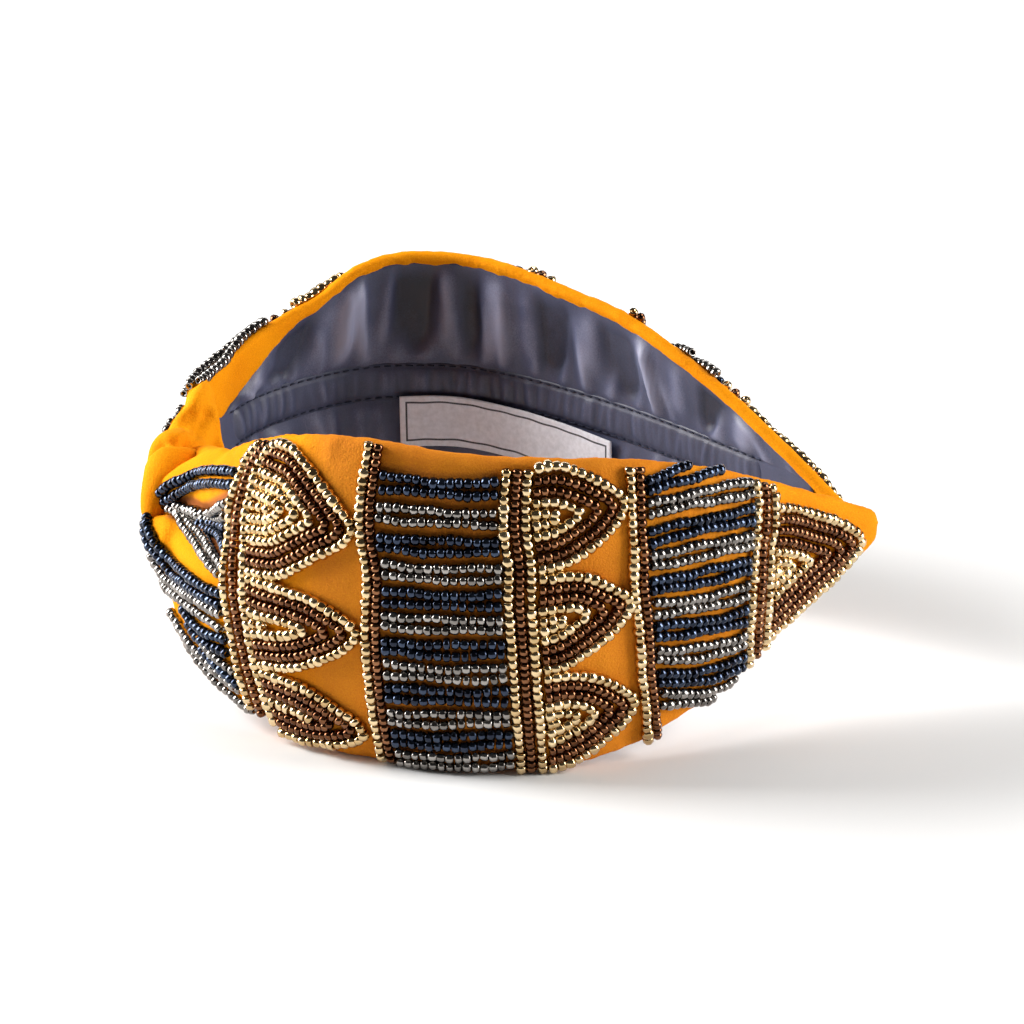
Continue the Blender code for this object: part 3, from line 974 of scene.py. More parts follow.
@dataclass(frozen=True)
class BeadFinish:
    """Metal-coated glass beads, each a little lighter or darker than the next."""

    tone: Tone
    dark: Colour
    light: Colour
    roughness: float
    metallic: float
    coat: float
    coat_roughness: float = 0.06
    picked_share: float = 0.72
    grain: float = 1500.0
    smoothest: float = 0.75
    roughest: float = 1.35
    bump: float = 0.12
    bump_height: float = 0.00006

    def material(self) -> Material:
        """Build the material.

        Returns:
            The material.
        """
        middle = tuple((a + b) / 2 for a, b in zip(self.dark, self.light))
        shade = Shader(self.tone.value + "_coating", middle, self.roughness, self.metallic)
        shade.set("Coat Weight", self.coat)
        shade.set("Coat Roughness", self.coat_roughness)
        picked = shade.stored("bead_shade")
        grain = shade.noise(self.grain)
        mixed = shade.shared(picked, self.picked_share, grain)
        shade.plug("Base Color", shade.ramp(mixed, [(0.12, self.dark), (0.88, self.light)]))
        ends = (self.roughness * self.smoothest, self.roughness * self.roughest)
        shade.plug("Roughness", shade.spread(picked, (0.0, 1.0), ends))
        shade.bump(grain, self.bump, self.bump_height)
        return shade.material


BEAD_FINISHES = {
    Tone.GOLD: BeadFinish(Tone.GOLD, (0.5, 0.33, 0.145), (0.88, 0.68, 0.4), 0.17, 1.0, 0.15),
    Tone.BRONZE: BeadFinish(Tone.BRONZE, (0.1, 0.036, 0.014), (0.29, 0.13, 0.06), 0.16, 1.0, 0.1),
    Tone.NAVY: BeadFinish(Tone.NAVY, (0.01, 0.014, 0.028), (0.046, 0.066, 0.112), 0.12, 0.95, 0.25),
    Tone.STEEL: BeadFinish(Tone.STEEL, (0.13, 0.118, 0.108), (0.38, 0.355, 0.33), 0.15, 1.0, 0.2),
}


@dataclass(frozen=True)
class ThreadedSize:
    """Sizes of what is threaded on a line, in millimetres, with how uneven it is."""

    pitch: float
    diameter: float
    length: float
    hole: float
    lean: float
    uneven: float


BEAD_SIZES = {
    Tone.GOLD: ThreadedSize(1.76, 2.44, 1.62, 0.8, 0.28, 0.16),
    Tone.BRONZE: ThreadedSize(1.52, 2.16, 1.34, 0.75, 0.14, 0.08),
    Tone.NAVY: ThreadedSize(1.72, 2.3, 1.46, 0.8, 0.26, 0.12),
    Tone.STEEL: ThreadedSize(1.74, 2.3, 1.5, 0.8, 0.24, 0.12),
}
STITCH_SIZE = ThreadedSize(2.4, 0.34, 1.4, 0.06, 0.08, 0.1)


class ThreadingTree(NodeBuilder):
    """Geometry Nodes that thread beads, or stitches, on lines."""

    INPUTS = {**dict.fromkeys(("Pitch", "Diameter", "Length", "Hole", "Lean", "Uneven"), "Float"),
              "Seed": "Int", "Finish": "Material"}
    SEGMENTS = 8
    PROFILE = 8
    # Half a wall or length, and a little more for the corners that the round profile cuts.
    PROFILE_REACH = 0.56
    # How much more uneven a bead's length is than its width.
    LENGTHWISE = 1.6
    FULL_TURN = 6.28
    LEAN_SEED = 7.0
    SHADE_SEED = 13.0

    def __init__(self) -> None:
        """Build the tree."""
        super().__init__(bpy.data.node_groups.new("threaded_beads", "GeometryNodeTree"))
        self.tree.interface.new_socket("Geometry", in_out="INPUT", socket_type="NodeSocketGeometry")
        self.sockets = {}
        for name, kind in self.INPUTS.items():
            made = self.tree.interface.new_socket(name, in_out="INPUT",
                                                  socket_type="NodeSocket" + kind)
            self.sockets[name] = made.identifier
        self.tree.interface.new_socket("Geometry", in_out="OUTPUT",
                                       socket_type="NodeSocketGeometry")
        self.given = self.tree.nodes.new("NodeGroupInput").outputs
        self.build()

    def vector(self, x: object, y: object, z: object) -> Socket:
        """Join three values to a vector and return it."""
        return self.node("ShaderNodeCombineXYZ", {0: x, 1: y, 2: z}).outputs[0]

    def drawn(self, low: Socket, high: Socket, seed: Socket) -> Socket:
        """Draw a random vector for each bead and return it."""
        return self.node("FunctionNodeRandomValue", {"Min": low, "Max": high, "Seed": seed},
                         data_type="FLOAT_VECTOR").outputs[0]

    def bead(self) -> Socket:
        """Add the nodes of one bead round the Z axis.

        Returns:
            Its mesh.
        """
        length, outer, hole = (self.given[name] for name in ("Length", "Diameter", "Hole"))
        wall = self.math("MULTIPLY", self.math("SUBTRACT", outer, hole), 0.5)
        radius = self.math("MULTIPLY", self.math("ADD", outer, hole), 0.25)
        ring = self.node("GeometryNodeCurvePrimitiveCircle",
                         {"Resolution": self.SEGMENTS, "Radius": radius})
        outline = self.node("GeometryNodeCurvePrimitiveCircle",
                            {"Resolution": self.PROFILE, "Radius": 1.0})
        turned = self.node("GeometryNodeTransform",
                           {"Geometry": outline.outputs[0],
                            "Rotation": (0.0, 0.0, math.pi / self.PROFILE)})
        size = self.vector(self.math("MULTIPLY", wall, self.PROFILE_REACH),
                           self.math("MULTIPLY", length, self.PROFILE_REACH), 1.0)
        profile = self.node("GeometryNodeTransform", {"Geometry": turned.outputs[0], "Scale": size})
        made = self.node("GeometryNodeCurveToMesh", {"Curve": ring.outputs[0],
                                                     "Profile Curve": profile.outputs[0]})
        return made.outputs[0]

    def build(self) -> None:
        """Add the nodes that place the beads and end in realised instances."""
        lines = self.node("GeometryNodeMeshToCurve", {"Mesh": self.given["Geometry"]})
        even = self.node("GeometryNodeResampleCurve",
                         {"Curve": lines.outputs[0], "Length": self.given["Pitch"]},
                         mode="LENGTH")
        along = self.node("GeometryNodeInputTangent")
        aligned = self.node("FunctionNodeAlignRotationToVector",
                            {"Vector": along.outputs[0]}, axis="Z")
        seed, lean, uneven = (self.given[name] for name in ("Seed", "Lean", "Uneven"))
        less = self.math("SUBTRACT", 1.0, uneven)
        more = self.math("ADD", 1.0, uneven)
        longest = self.math("ADD", 1.0, self.math("MULTIPLY", uneven, self.LENGTHWISE))
        size = self.drawn(self.vector(less, less, less), self.vector(more, more, longest), seed)
        back = self.math("MULTIPLY", lean, -1.0)
        turn = self.drawn(self.vector(back, back, 0.0), self.vector(lean, lean, self.FULL_TURN),
                          self.math("ADD", seed, self.LEAN_SEED))
        placed = self.node("GeometryNodeInstanceOnPoints",
                           {"Points": even.outputs[0], "Instance": self.bead(),
                            "Rotation": aligned.outputs[0], "Scale": size})
        turned = self.node("GeometryNodeRotateInstances",
                           {"Instances": placed.outputs[0], "Rotation": turn})
        picked = self.node("FunctionNodeRandomValue",
                           {"Seed": self.math("ADD", seed, self.SHADE_SEED)},
                           data_type="FLOAT")
        shaded = self.node("GeometryNodeStoreNamedAttribute",
                           {"Geometry": turned.outputs[0], "Name": "bead_shade",
                            "Value": picked.outputs[1]},
                           data_type="FLOAT", domain="INSTANCE")
        real = self.node("GeometryNodeRealizeInstances", {"Geometry": shaded.outputs[0]})
        smooth = self.node("GeometryNodeSetShadeSmooth", {"Geometry": real.outputs[0]})
        dressed = self.node("GeometryNodeSetMaterial", {"Geometry": smooth.outputs[0],
                                                        "Material": self.given["Finish"]})
        self.node("NodeGroupOutput", {"Geometry": dressed.outputs[0]})

    def thread(self, name: str, lines: list[Array], size: ThreadedSize, seed: int,
               finish: Material) -> Piece:
        """Thread pieces on lines.

        Args:
            name: the piece's name.
            lines: polylines in metres.
            size: the sizes of what is threaded.
            seed: the seed of the unevenness.
            finish: the material.

        Returns:
            One plain mesh object.
        """
        points = np.vstack(lines)
        edges = []
        start = 0
        for line in lines:
            edges += [(start + index, start + index + 1) for index in range(len(line) - 1)]
            start += len(line)
        made = mesh_object(name, points, edges)
        threading = made.modifiers.new("threading", "NODES")
        threading.node_group = self.tree
        values = {"Pitch": size.pitch * MM, "Diameter": size.diameter * MM,
                  "Length": size.length * MM, "Hole": size.hole * MM, "Lean": size.lean,
                  "Uneven": size.uneven, "Seed": seed, "Finish": finish}
        for key, value in values.items():
            threading[self.sockets[key]] = value
        return applied(made)


@dataclass
class Cover:
    """The padded cloth of one arm with its hems, its blunt tip and its rolls in the knot."""

    arm: Arm
    rolls: tuple[tuple[RollPoint, ...], ...] = KNOT_ROLLS
    ring_step: float = 1.1
    face_points: int = 46
    rim_points: int = 9
    rim_round: float = 0.24
    hem_wave: float = 0.12
    hem_turns: tuple[Pair, ...] = ((0.9, 0.0), (2.1, 1.0))
    hem_step: Pair = (0.5, 0.6)
    ripple: float = 0.22
    ripple_lengths: Pair = (5.3, 11.0)
    ripple_turns: Pair = (2.1, 5.0)
    tip_rings: tuple[Pair, ...] = ((0.86, 0.7), (0.6, 1.3), (0.28, 1.6))
    roll_sides: int = 20
    curve_steps: int = 6
    far_shift: float = 3.0
    far_window: Pair = (18.0, 25.0)
    voxel: float = 0.72
    knot_window: Pair = (-66.0, -52.0)
    knot_rounds: int = 10
    crease_end: float = -56.0
    crease_step: float = 0.5
    pucker_span: float = 4.6
    pucker_depth: float = 0.3
    pucker_least: float = 0.35
    pucker_rim: Pair = (0.8, 0.97)
    pucker_finer: Pair = (0.5, 2.3)

    def ring(self, run: float) -> Array:
        """Work out the closed ring of points at a run.

        Args:
            run: the run.

        Returns:
            The outer face, the high rim, the inner face and the low rim in turn.
        """
        height = float(self.arm.height(run)[0])
        hem = float(self.arm.hem(run)[0])
        hem += sum(self.hem_wave * math.sin(run * turn + phase) for turn, phase in self.hem_turns)
        thick = float(self.arm.inner(np.array([run]), np.array([1.0]))[0][0])
        round_off = min(thick / 2, height * self.rim_round)
        levels = np.linspace(round_off, height - round_off, self.face_points)
        shares = 2 * levels / height - 1
        runs = np.full(len(levels), run)
        outer = self.arm.sink(runs, shares)
        outer += (self.ripple * np.sin(run / self.ripple_lengths[0] + self.ripple_turns[0] * shares)
                  * np.cos(shares * self.ripple_turns[1] + run / self.ripple_lengths[1]))
        hem_depth, inner = self.arm.inner(runs, shares)
        step = (hem - self.hem_step[0], hem + self.hem_step[1])
        back = hem_depth + (inner - hem_depth) * (ease(levels, *step) * ease(height - levels, *step))
        turns = np.linspace(0.0, math.pi, self.rim_points + 2)[1:-1]
        rim_depth = thick / 2 - np.cos(turns) * thick / 2
        rim_level = height - round_off + np.sin(turns) * round_off
        above = np.concatenate([levels, rim_level, levels[::-1], height - rim_level[::-1]])
        depth = np.concatenate([outer, rim_depth, back[::-1], rim_depth[::-1]])
        return self.arm.point(np.full(len(above), run), 2 * above / height - 1, depth)

    def roll(self, points: tuple[RollPoint, ...]) -> tuple[Array, list]:
        """Shape one closed roll of cloth in the knot.

        Args:
            points: the roll's points, as on the near arm.

        Returns:
            Its points and faces on this arm.
        """
        side = self.arm.side
        shift = self.far_shift if side < 0 else 0.0
        rows = curve_through(np.array([[p.x - shift * float(ease(-p.y, *self.far_window)), p.y * side,
                                        p.z * side, p.half_depth, p.half_height]
                                       for p in points]), self.curve_steps)
        angles = np.linspace(0.0, 2 * math.pi, self.roll_sides, endpoint=False)
        rings = []
        for index, row in enumerate(rows):
            along = rows[min(index + 1, len(rows) - 1), :3] - rows[max(index - 1, 0), :3]
            along /= np.linalg.norm(along)
            across = np.array([1.0, 0.0, 0.0]) - along[0] * along
            across /= np.linalg.norm(across)
            upward = np.cross(along, across)
            rings.append(row[:3] + np.cos(angles)[:, None] * across * row[3]
                         + np.sin(angles)[:, None] * upward * row[4])
        return closed_tube(rings)

    def raw(self) -> Piece:
        """Make the closed parts that the remesh joins.

        Returns:
            One object that holds them all.
        """
        count = round((self.arm.length - KNOT_REACH) / self.ring_step) + 1
        rings = [self.ring(run) for run in np.linspace(KNOT_REACH, self.arm.length, count)]
        centre = rings[-1].mean(axis=0)
        along = centre - rings[-2].mean(axis=0)
        along[2] = 0.0
        along /= np.linalg.norm(along)
        for scale, reach in self.tip_rings:
            rings.append(centre + (rings[count - 1] - centre) * scale + along * reach)
        points, faces = closed_tube(rings)
        for roll in self.rolls:
            more, more_faces = self.roll(roll)
            faces += [tuple(index + len(points) for index in face) for face in more_faces]
            points = np.vstack([points, more])
        return mesh_object(f"{self.arm.name}_cover_cloth", place(points), faces)

    def crease(self, sculpt: Sculpt) -> None:
        """Press the knot's creases into the cloth.

        Args:
            sculpt: the cloth.
        """
        turn = np.array([1.0, -self.arm.side, -self.arm.side])
        knot = np.flatnonzero(sculpt.points[:, 0] < self.crease_end)
        amount = np.zeros(len(sculpt.points))
        for crease in KNOT_CREASES:
            line = curve_through(np.array(crease.line), self.curve_steps)
            line = even_line(line, self.crease_step) * turn
            spans = np.linalg.norm(sculpt.points[knot][:, None, :] - line[None, :, :], axis=2)
            amount[knot] -= crease.depth * bell(spans.min(axis=1), 0.0, crease.width)
        sculpt.push(amount)

    def pucker(self, sculpt: Sculpt) -> None:
        """Dent the cloth a little, most along its rims and in the knot.

        Args:
            sculpt: the cloth.
        """
        points = sculpt.points
        half = np.maximum(self.arm.height(self.arm.run_near(points)) / 2, 1.0)
        rim = ease(np.abs(points[:, 2]) / half, *self.pucker_rim)
        strength = self.pucker_least + (1 - self.pucker_least) * rim
        share, finer = self.pucker_finer
        dents = np.array([noise.noise(Vector(point) / self.pucker_span)
                          + share * noise.noise(Vector(point) / self.pucker_span * finer)
                          for point in points])
        sculpt.push(dents * strength * self.pucker_depth)

    def build(self, finish: Material) -> Piece:
        """Build the cover: join, remesh, soften, crease and pucker it.

        Args:
            finish: its material.

        Returns:
            The piece.
        """
        made = outward_faces(self.raw())
        remesh = made.modifiers.new("cloth", "REMESH")
        remesh.mode = "VOXEL"
        remesh.voxel_size = self.voxel * MM
        remesh.adaptivity = 0.0
        applied(made)
        sculpt = Sculpt(made)
        knot = 1 - ease(sculpt.points[:, 0], *self.knot_window)
        sculpt.relax(4)
        sculpt.shrink(self.knot_rounds, knot)
        sculpt.relax(3)
        self.crease(sculpt)
        sculpt.relax(1)
        self.pucker(sculpt)
        sculpt.points[:, 2] = np.maximum(sculpt.points[:, 2], -MID_PLANE)
        sculpt.write()
        made.data.shade_smooth()
        made.data.materials.clear()
        made.data.materials.append(finish)
        return made


@dataclass(frozen=True)
class Column:
    """A band of strands across an arm: the run of its first strand at some shares."""

    shares: Floats
    runs: Floats
    tones: tuple[Tone, ...]
    pitch: float = 2.3

    def run(self, shares: Array, strand: float = 0.0) -> Array:
        """Return the runs of a strand, counted from 0, at shares."""
        curve = curve_through(np.array([self.shares, self.runs]).T, 5)
        return np.interp(shares, curve[:, 0], curve[:, 1]) + strand * self.pitch

    def strands(self) -> list[tuple[Tone, Array]]:
        """Trace each strand of the band.

        Returns:
            The tone and the (run, share) rows of each.
        """
        shares = np.linspace(self.shares[0], self.shares[-1], 60)
        return [(tone, np.stack([self.run(shares, index), shares], axis=1))
                for index, tone in enumerate(self.tones)]


# The tones of a column's strands, from the knot's side on, and the columns themselves.
TRIO = (Tone.GOLD, Tone.BRONZE, Tone.GOLD)
DUO = (Tone.GOLD, Tone.BRONZE)
COLUMNS = {
    "knot": Column((
        -0.93, -0.81, -0.67, -0.48, -0.31, -0.15, 0.01, 0.22, 0.34, 0.48, 0.58, 0.69, 0.81, 0.86,
        0.9, 0.94
    ), (
        40.6, 39.8, 38.8, 37.8, 37.1, 36.3, 35.6, 34.8, 34.2, 33.6, 33.8, 34.4, 34.6, 35.1, 36.6,
        38.0
    ), TRIO, 2.85),
    "a": Column((
        -1.0, -0.69, -0.42, -0.1, 0.15, 0.24, 0.33, 0.47, 0.61, 0.76, 0.86, 0.97
    ), (
        71.0, 70.2, 69.8, 69.5, 69.9, 70.0, 69.4, 68.4, 68.0, 68.1, 68.4, 68.6
    ), DUO, 2.1),
    "b": Column((
        -0.96, -0.85, -0.65, -0.44, -0.24, -0.04, 0.17, 0.37, 0.54, 0.63, 0.82, 0.93
    ), (
        99.5, 99.3, 98.7, 98.2, 97.8, 97.4, 97.0, 97.0, 96.2, 95.9, 96.2, 96.6
    ), TRIO, 2.15),
    "c": Column((
        -0.97, -0.83, -0.71, -0.58, -0.44, -0.22, 0.0, 0.21, 0.41, 0.6, 0.83, 0.94
    ), (
        126.4, 125.3, 124.7, 123.9, 123.1, 122.5, 121.7, 120.9, 121.1, 121.0, 121.4, 121.6
    ), DUO, 2.1),
    "d": Column((
        -0.9, -0.64, -0.49, -0.32, -0.14, 0.0, 0.16, 0.31, 0.4, 0.58, 0.8, 0.91
    ), (
        152.7, 152.0, 151.8, 151.6, 151.6, 151.9, 152.1, 152.7, 153.3, 153.9, 154.6, 154.4
    ), TRIO, 2.75),
}


@dataclass(frozen=True)
class Arrow:
    """A pointed arch of nested strands: the (run, share) points of its two outer legs."""

    start: str
    end: str
    tones: tuple[Tone, ...]
    upper: tuple[Pair, ...]
    lower: tuple[Pair, ...]


# The tones of an arch's strands from the outside in; the last goes on for the rest.
NEST = (Tone.GOLD, Tone.BRONZE, Tone.BRONZE, Tone.GOLD, Tone.GOLD, Tone.GOLD, Tone.GOLD)
TIP_NEST = (Tone.GOLD, Tone.BRONZE, Tone.BRONZE, Tone.BRONZE, Tone.GOLD, Tone.GOLD, Tone.GOLD,
            Tone.GOLD, Tone.GOLD)
ARROWS = (
    Arrow("knot", "a", NEST, (
        (46.1, 0.95), (48, 0.94), (49.4, 0.93), (51.3, 0.91), (53.9, 0.86), (56.5, 0.8),
        (58.7, 0.74), (60.6, 0.69), (62.3, 0.64), (64, 0.59), (65.4, 0.55), (66.8, 0.51)
    ), (
        (45.5, 0.11), (47.8, 0.12), (49.9, 0.13), (51.6, 0.15), (53.2, 0.18), (56, 0.235),
        (59, 0.3), (60.7, 0.33), (62.2, 0.35), (63.7, 0.38), (64.9, 0.41), (66.1, 0.46),
        (66.8, 0.51)
    )),
    Arrow("knot", "a", NEST, (
        (44.4, 0.05), (46.7, 0.045), (49.2, 0.05), (52.6, 0.05), (56.1, 0.04), (59.5, 0.02),
        (62.3, -0.02), (63.9, -0.04), (65.5, -0.065), (66.8, -0.1), (68, -0.14)
    ), (
        (45.6, -0.53), (48.3, -0.495), (51.2, -0.47), (53.6, -0.44), (55.5, -0.42), (57.9, -0.38),
        (60.3, -0.34), (63.2, -0.285), (64.6, -0.25), (66.1, -0.21), (68, -0.14)
    )),
    Arrow("knot", "a", NEST, (
        (46, -0.585), (49.5, -0.565), (52.8, -0.56), (54.6, -0.565), (56.5, -0.58), (59.1, -0.61),
        (62, -0.66), (64.9, -0.7), (66.2, -0.73), (67.3, -0.76), (67.9, -0.8)
    ), (
        (46, -0.985), (50, -0.975), (53, -0.965), (55.6, -0.95), (58.7, -0.93), (61, -0.91),
        (63.9, -0.88), (65.5, -0.86), (67.1, -0.83), (67.9, -0.8)
    )),
    Arrow("b", "c", NEST, (
        (102.4, 0.955), (104.4, 0.965), (107.1, 0.965), (109.7, 0.94), (111.1, 0.93), (112.5, 0.91),
        (113.8, 0.89), (115.9, 0.855), (118.2, 0.81), (119.6, 0.775), (120, 0.73)
    ), (
        (104.2, 0.37), (105.8, 0.375), (107.4, 0.39), (108.9, 0.405), (110.1, 0.43), (112.6, 0.48),
        (114.9, 0.53), (115.9, 0.56), (117, 0.59), (117.9, 0.63), (118.8, 0.67), (120, 0.73)
    )),
    Arrow("b", "c", NEST, (
        (103, 0.3), (105.5, 0.305), (108.3, 0.31), (111.2, 0.3), (112.5, 0.285), (113.7, 0.265),
        (115.8, 0.22), (118.3, 0.17), (119.8, 0.14), (121, 0.09)
    ), (
        (104.2, -0.27), (106.5, -0.265), (107.6, -0.255), (109, -0.235), (111.8, -0.185),
        (113.4, -0.15), (116.5, -0.085), (117.6, -0.05), (118.5, -0.005), (119.8, 0.04), (121, 0.09)
    )),
    Arrow("b", "c", NEST, (
        (104.4, -0.335), (107, -0.325), (109.7, -0.335), (111.1, -0.345), (112.6, -0.36),
        (114.2, -0.385), (116.8, -0.44), (118.2, -0.48), (119.9, -0.53), (121.4, -0.58),
        (122.1, -0.64)
    ), (
        (104.8, -0.965), (107.2, -0.955), (109.8, -0.94), (111.5, -0.915), (114.6, -0.875),
        (115.8, -0.85), (118, -0.79), (119.7, -0.75), (120.7, -0.71), (122.1, -0.64)
    )),
    Arrow("d", "", TIP_NEST, (
        (161.5, 0.69), (165.5, 0.7), (169.3, 0.67), (173.8, 0.6), (176.4, 0.57), (179, 0.49),
        (180.4, 0.42), (182.2, 0.31), (184, 0.14), (185.3, -0.1), (185.5, -0.25)
    ), (
        (158, -0.88), (161.3, -0.82), (165.1, -0.8), (170.1, -0.78), (174.6, -0.76), (178.2, -0.74),
        (179.7, -0.71), (180.8, -0.64), (181.9, -0.56), (183.1, -0.47), (184.2, -0.37),
        (185.5, -0.25)
    )),
)


@dataclass(frozen=True)
class Panel:
    """Pairs of strands between two columns, with the shares of each pair at both ends and the strength
    of the painted shade under them.
    """

    start: str
    end: str
    start_shares: Floats
    end_shares: Floats
    shade: float
    tones: tuple[Tone, Tone] = (Tone.STEEL, Tone.NAVY)
    split: float = 2.3


PANELS = (
    Panel("a", "b", (-0.93, -0.79, -0.64, -0.48, -0.33, -0.18, -0.02, 0.13, 0.29, 0.45, 0.62, 0.79),
          (-0.89, -0.74, -0.59, -0.44, -0.29, -0.14, 0.02, 0.17, 0.33, 0.49, 0.66, 0.83), 0.5),
    Panel("c", "d", (-0.69, -0.52, -0.33, -0.15, 0.01, 0.18, 0.35, 0.51, 0.69, 0.85),
          (-1.07, -0.83, -0.59, -0.34, -0.1, 0.14, 0.38, 0.62, 0.87, 1.11), 0.3),
)


@dataclass(frozen=True)
class FanStrand:
    """A strand from the knot to the first column, as (run, share, depth) points."""

    tone: Tone
    points: tuple[Point, ...]


FAN = tuple(FanStrand(*row) for row in (
    (Tone.NAVY, ((-2, 0.28, -3.8), (-0.3, 0.38, -3.6), (1.8, 0.51, -3.4),
        (4.3, 0.61, -2.7), (6.6, 0.69, -1.8), (10.8, 0.76, -0.8), (17.2, 0.78, -0.8),
        (24.4, 0.77, -0.7), (31.7, 0.76, -0.4))),
    (Tone.NAVY, ((-1.3, 0.12, -2.3), (0.1, 0.22, -1.9), (2.7, 0.36, -1.7),
        (5.5, 0.49, -1.2), (9.3, 0.59, -0.8), (15.8, 0.65, -1), (23.1, 0.67, -1.1),
        (28.4, 0.67, -0.9), (32.3, 0.67, -0.5))),
    (Tone.STEEL, ((4.1, 0.22, -0.4), (6.6, 0.27, 0.8), (9.7, 0.3, 1.8), (12.5, 0.32, 2.5),
        (14.5, 0.32, 3.4), (19.6, 0.4, 2.6), (27.5, 0.48, 0.2), (31.4, 0.53, -0.2))),
    (Tone.STEEL, ((6.4, 0.25, 0.8), (8.8, 0.28, 1.6), (12.7, 0.28, 2.7),
        (15.1, 0.25, 3.6), (18.1, 0.26, 4.2), (20.8, 0.31, 4.3), (30.7, 0.43, 0.8))),
    (Tone.NAVY, ((14.9, 0.2, 3.1), (16.5, 0.21, 3.5), (19.4, 0.23, 3.9),
        (23.1, 0.25, 4.1), (27.7, 0.26, 3.7))),
    (Tone.NAVY, ((15.4, 0.18, 2.8), (17, 0.18, 3), (20, 0.18, 3.2), (22.7, 0.19, 3.3),
        (25.2, 0.19, 3.3), (29.3, 0.19, 2.4), (33.8, 0.18, 0.7))),
    (Tone.STEEL, ((2.3, 0.11, -1.1), (6.1, 0.11, -0.1), (10.1, 0.11, 0.5),
        (13.2, 0.09, 1.1), (18.1, 0.08, 1), (22.2, 0.06, 0.7), (26, 0.04, 0.4), (29.5, 0.02, 0),
        (33.6, 0, -0.5))),
    (Tone.STEEL, ((5.2, 0.14, 0.3), (8.3, 0.14, 1.5), (11.8, 0.14, 2.1),
        (15.7, 0.14, 2.2), (19.5, 0.13, 2.2), (23.8, 0.11, 1.8), (27.9, 0.09, 1.2),
        (31.9, 0.08, 0.4), (34.7, 0.06, -0.2))),
    (Tone.NAVY, ((0.4, -0.03, -5), (3.6, -0.11, -4.6), (6.1, -0.18, -3.1),
        (7.7, -0.23, -1.7), (9.8, -0.27, -0.3), (15.3, -0.21, -0.2), (20.4, -0.17, -0.6),
        (24.4, -0.17, -0.6), (28.8, -0.16, -0.5), (31.6, -0.15, -0.4), (34.4, -0.14, -0.4))),
    (Tone.NAVY, ((0.9, -0.09, -5.1), (1.8, -0.31, -4.1), (4.4, -0.37, -3.2),
        (7.1, -0.37, -1.5), (9.1, -0.43, -0.1), (12.2, -0.43, 0.8), (17.5, -0.32, 0.2),
        (21.3, -0.3, 0), (25.2, -0.28, -0.2), (28.4, -0.26, -0.2), (31.3, -0.25, -0.1),
        (34.1, -0.24, -0.1))),
    (Tone.STEEL, ((2.9, -0.51, -2.8), (3.2, -0.61, -2), (5.9, -0.61, -0.9),
        (10.2, -0.58, 0.3), (14.7, -0.49, 0.9), (20.3, -0.41, 0.6), (24.8, -0.35, 0.1),
        (28.3, -0.33, 0), (31.2, -0.32, 0), (34.1, -0.31, 0))),
    (Tone.STEEL, ((6.2, -0.63, -0.7), (7.5, -0.74, 0), (12.1, -0.63, 0.1),
        (16.6, -0.57, 0.5), (19.5, -0.54, 0.6), (22.3, -0.51, 0.8), (25.3, -0.48, 0.7),
        (28.3, -0.45, 0.5), (31, -0.43, 0.4), (33.9, -0.43, 0.3))),
    (Tone.NAVY, ((19, -0.61, 0.3), (21.5, -0.62, 0.2), (25, -0.61, 0.2),
        (28.2, -0.59, 0.1), (31.1, -0.56, 0.1), (33.1, -0.53, 0.3), (35, -0.51, 0.3))),
    (Tone.NAVY, ((22, -0.67, 0.1), (24.9, -0.7, 0), (28.7, -0.67, -0.1),
        (31.1, -0.65, -0.1), (33.3, -0.62, -0.1), (35.5, -0.61, -0.1))),
    (Tone.STEEL, ((27.8, -0.7, -0.1), (30.8, -0.71, -0.1), (32.9, -0.71, -0.2),
        (34.9, -0.71, -0.2), (37, -0.72, -0.1))),
    (Tone.NAVY, ((27.1, -0.77, 0), (29.4, -0.78, 0), (31.6, -0.78, -0.1),
        (33.5, -0.8, -0.1), (35.4, -0.8, -0.1), (37.6, -0.81, -0.1))),
))

# The strands of the fan that lie in the deep fold, with painted shade on the cloth under them.
SHADED_FAN = FAN[2:6]
# The slow bends of a panel's strands: size, and turns along it, from pair to pair and in a pair.
PANEL_WAVES = ((0.24, 7.0, 1.7, 2.0), (0.14, 17.0, 2.9, 5.0))


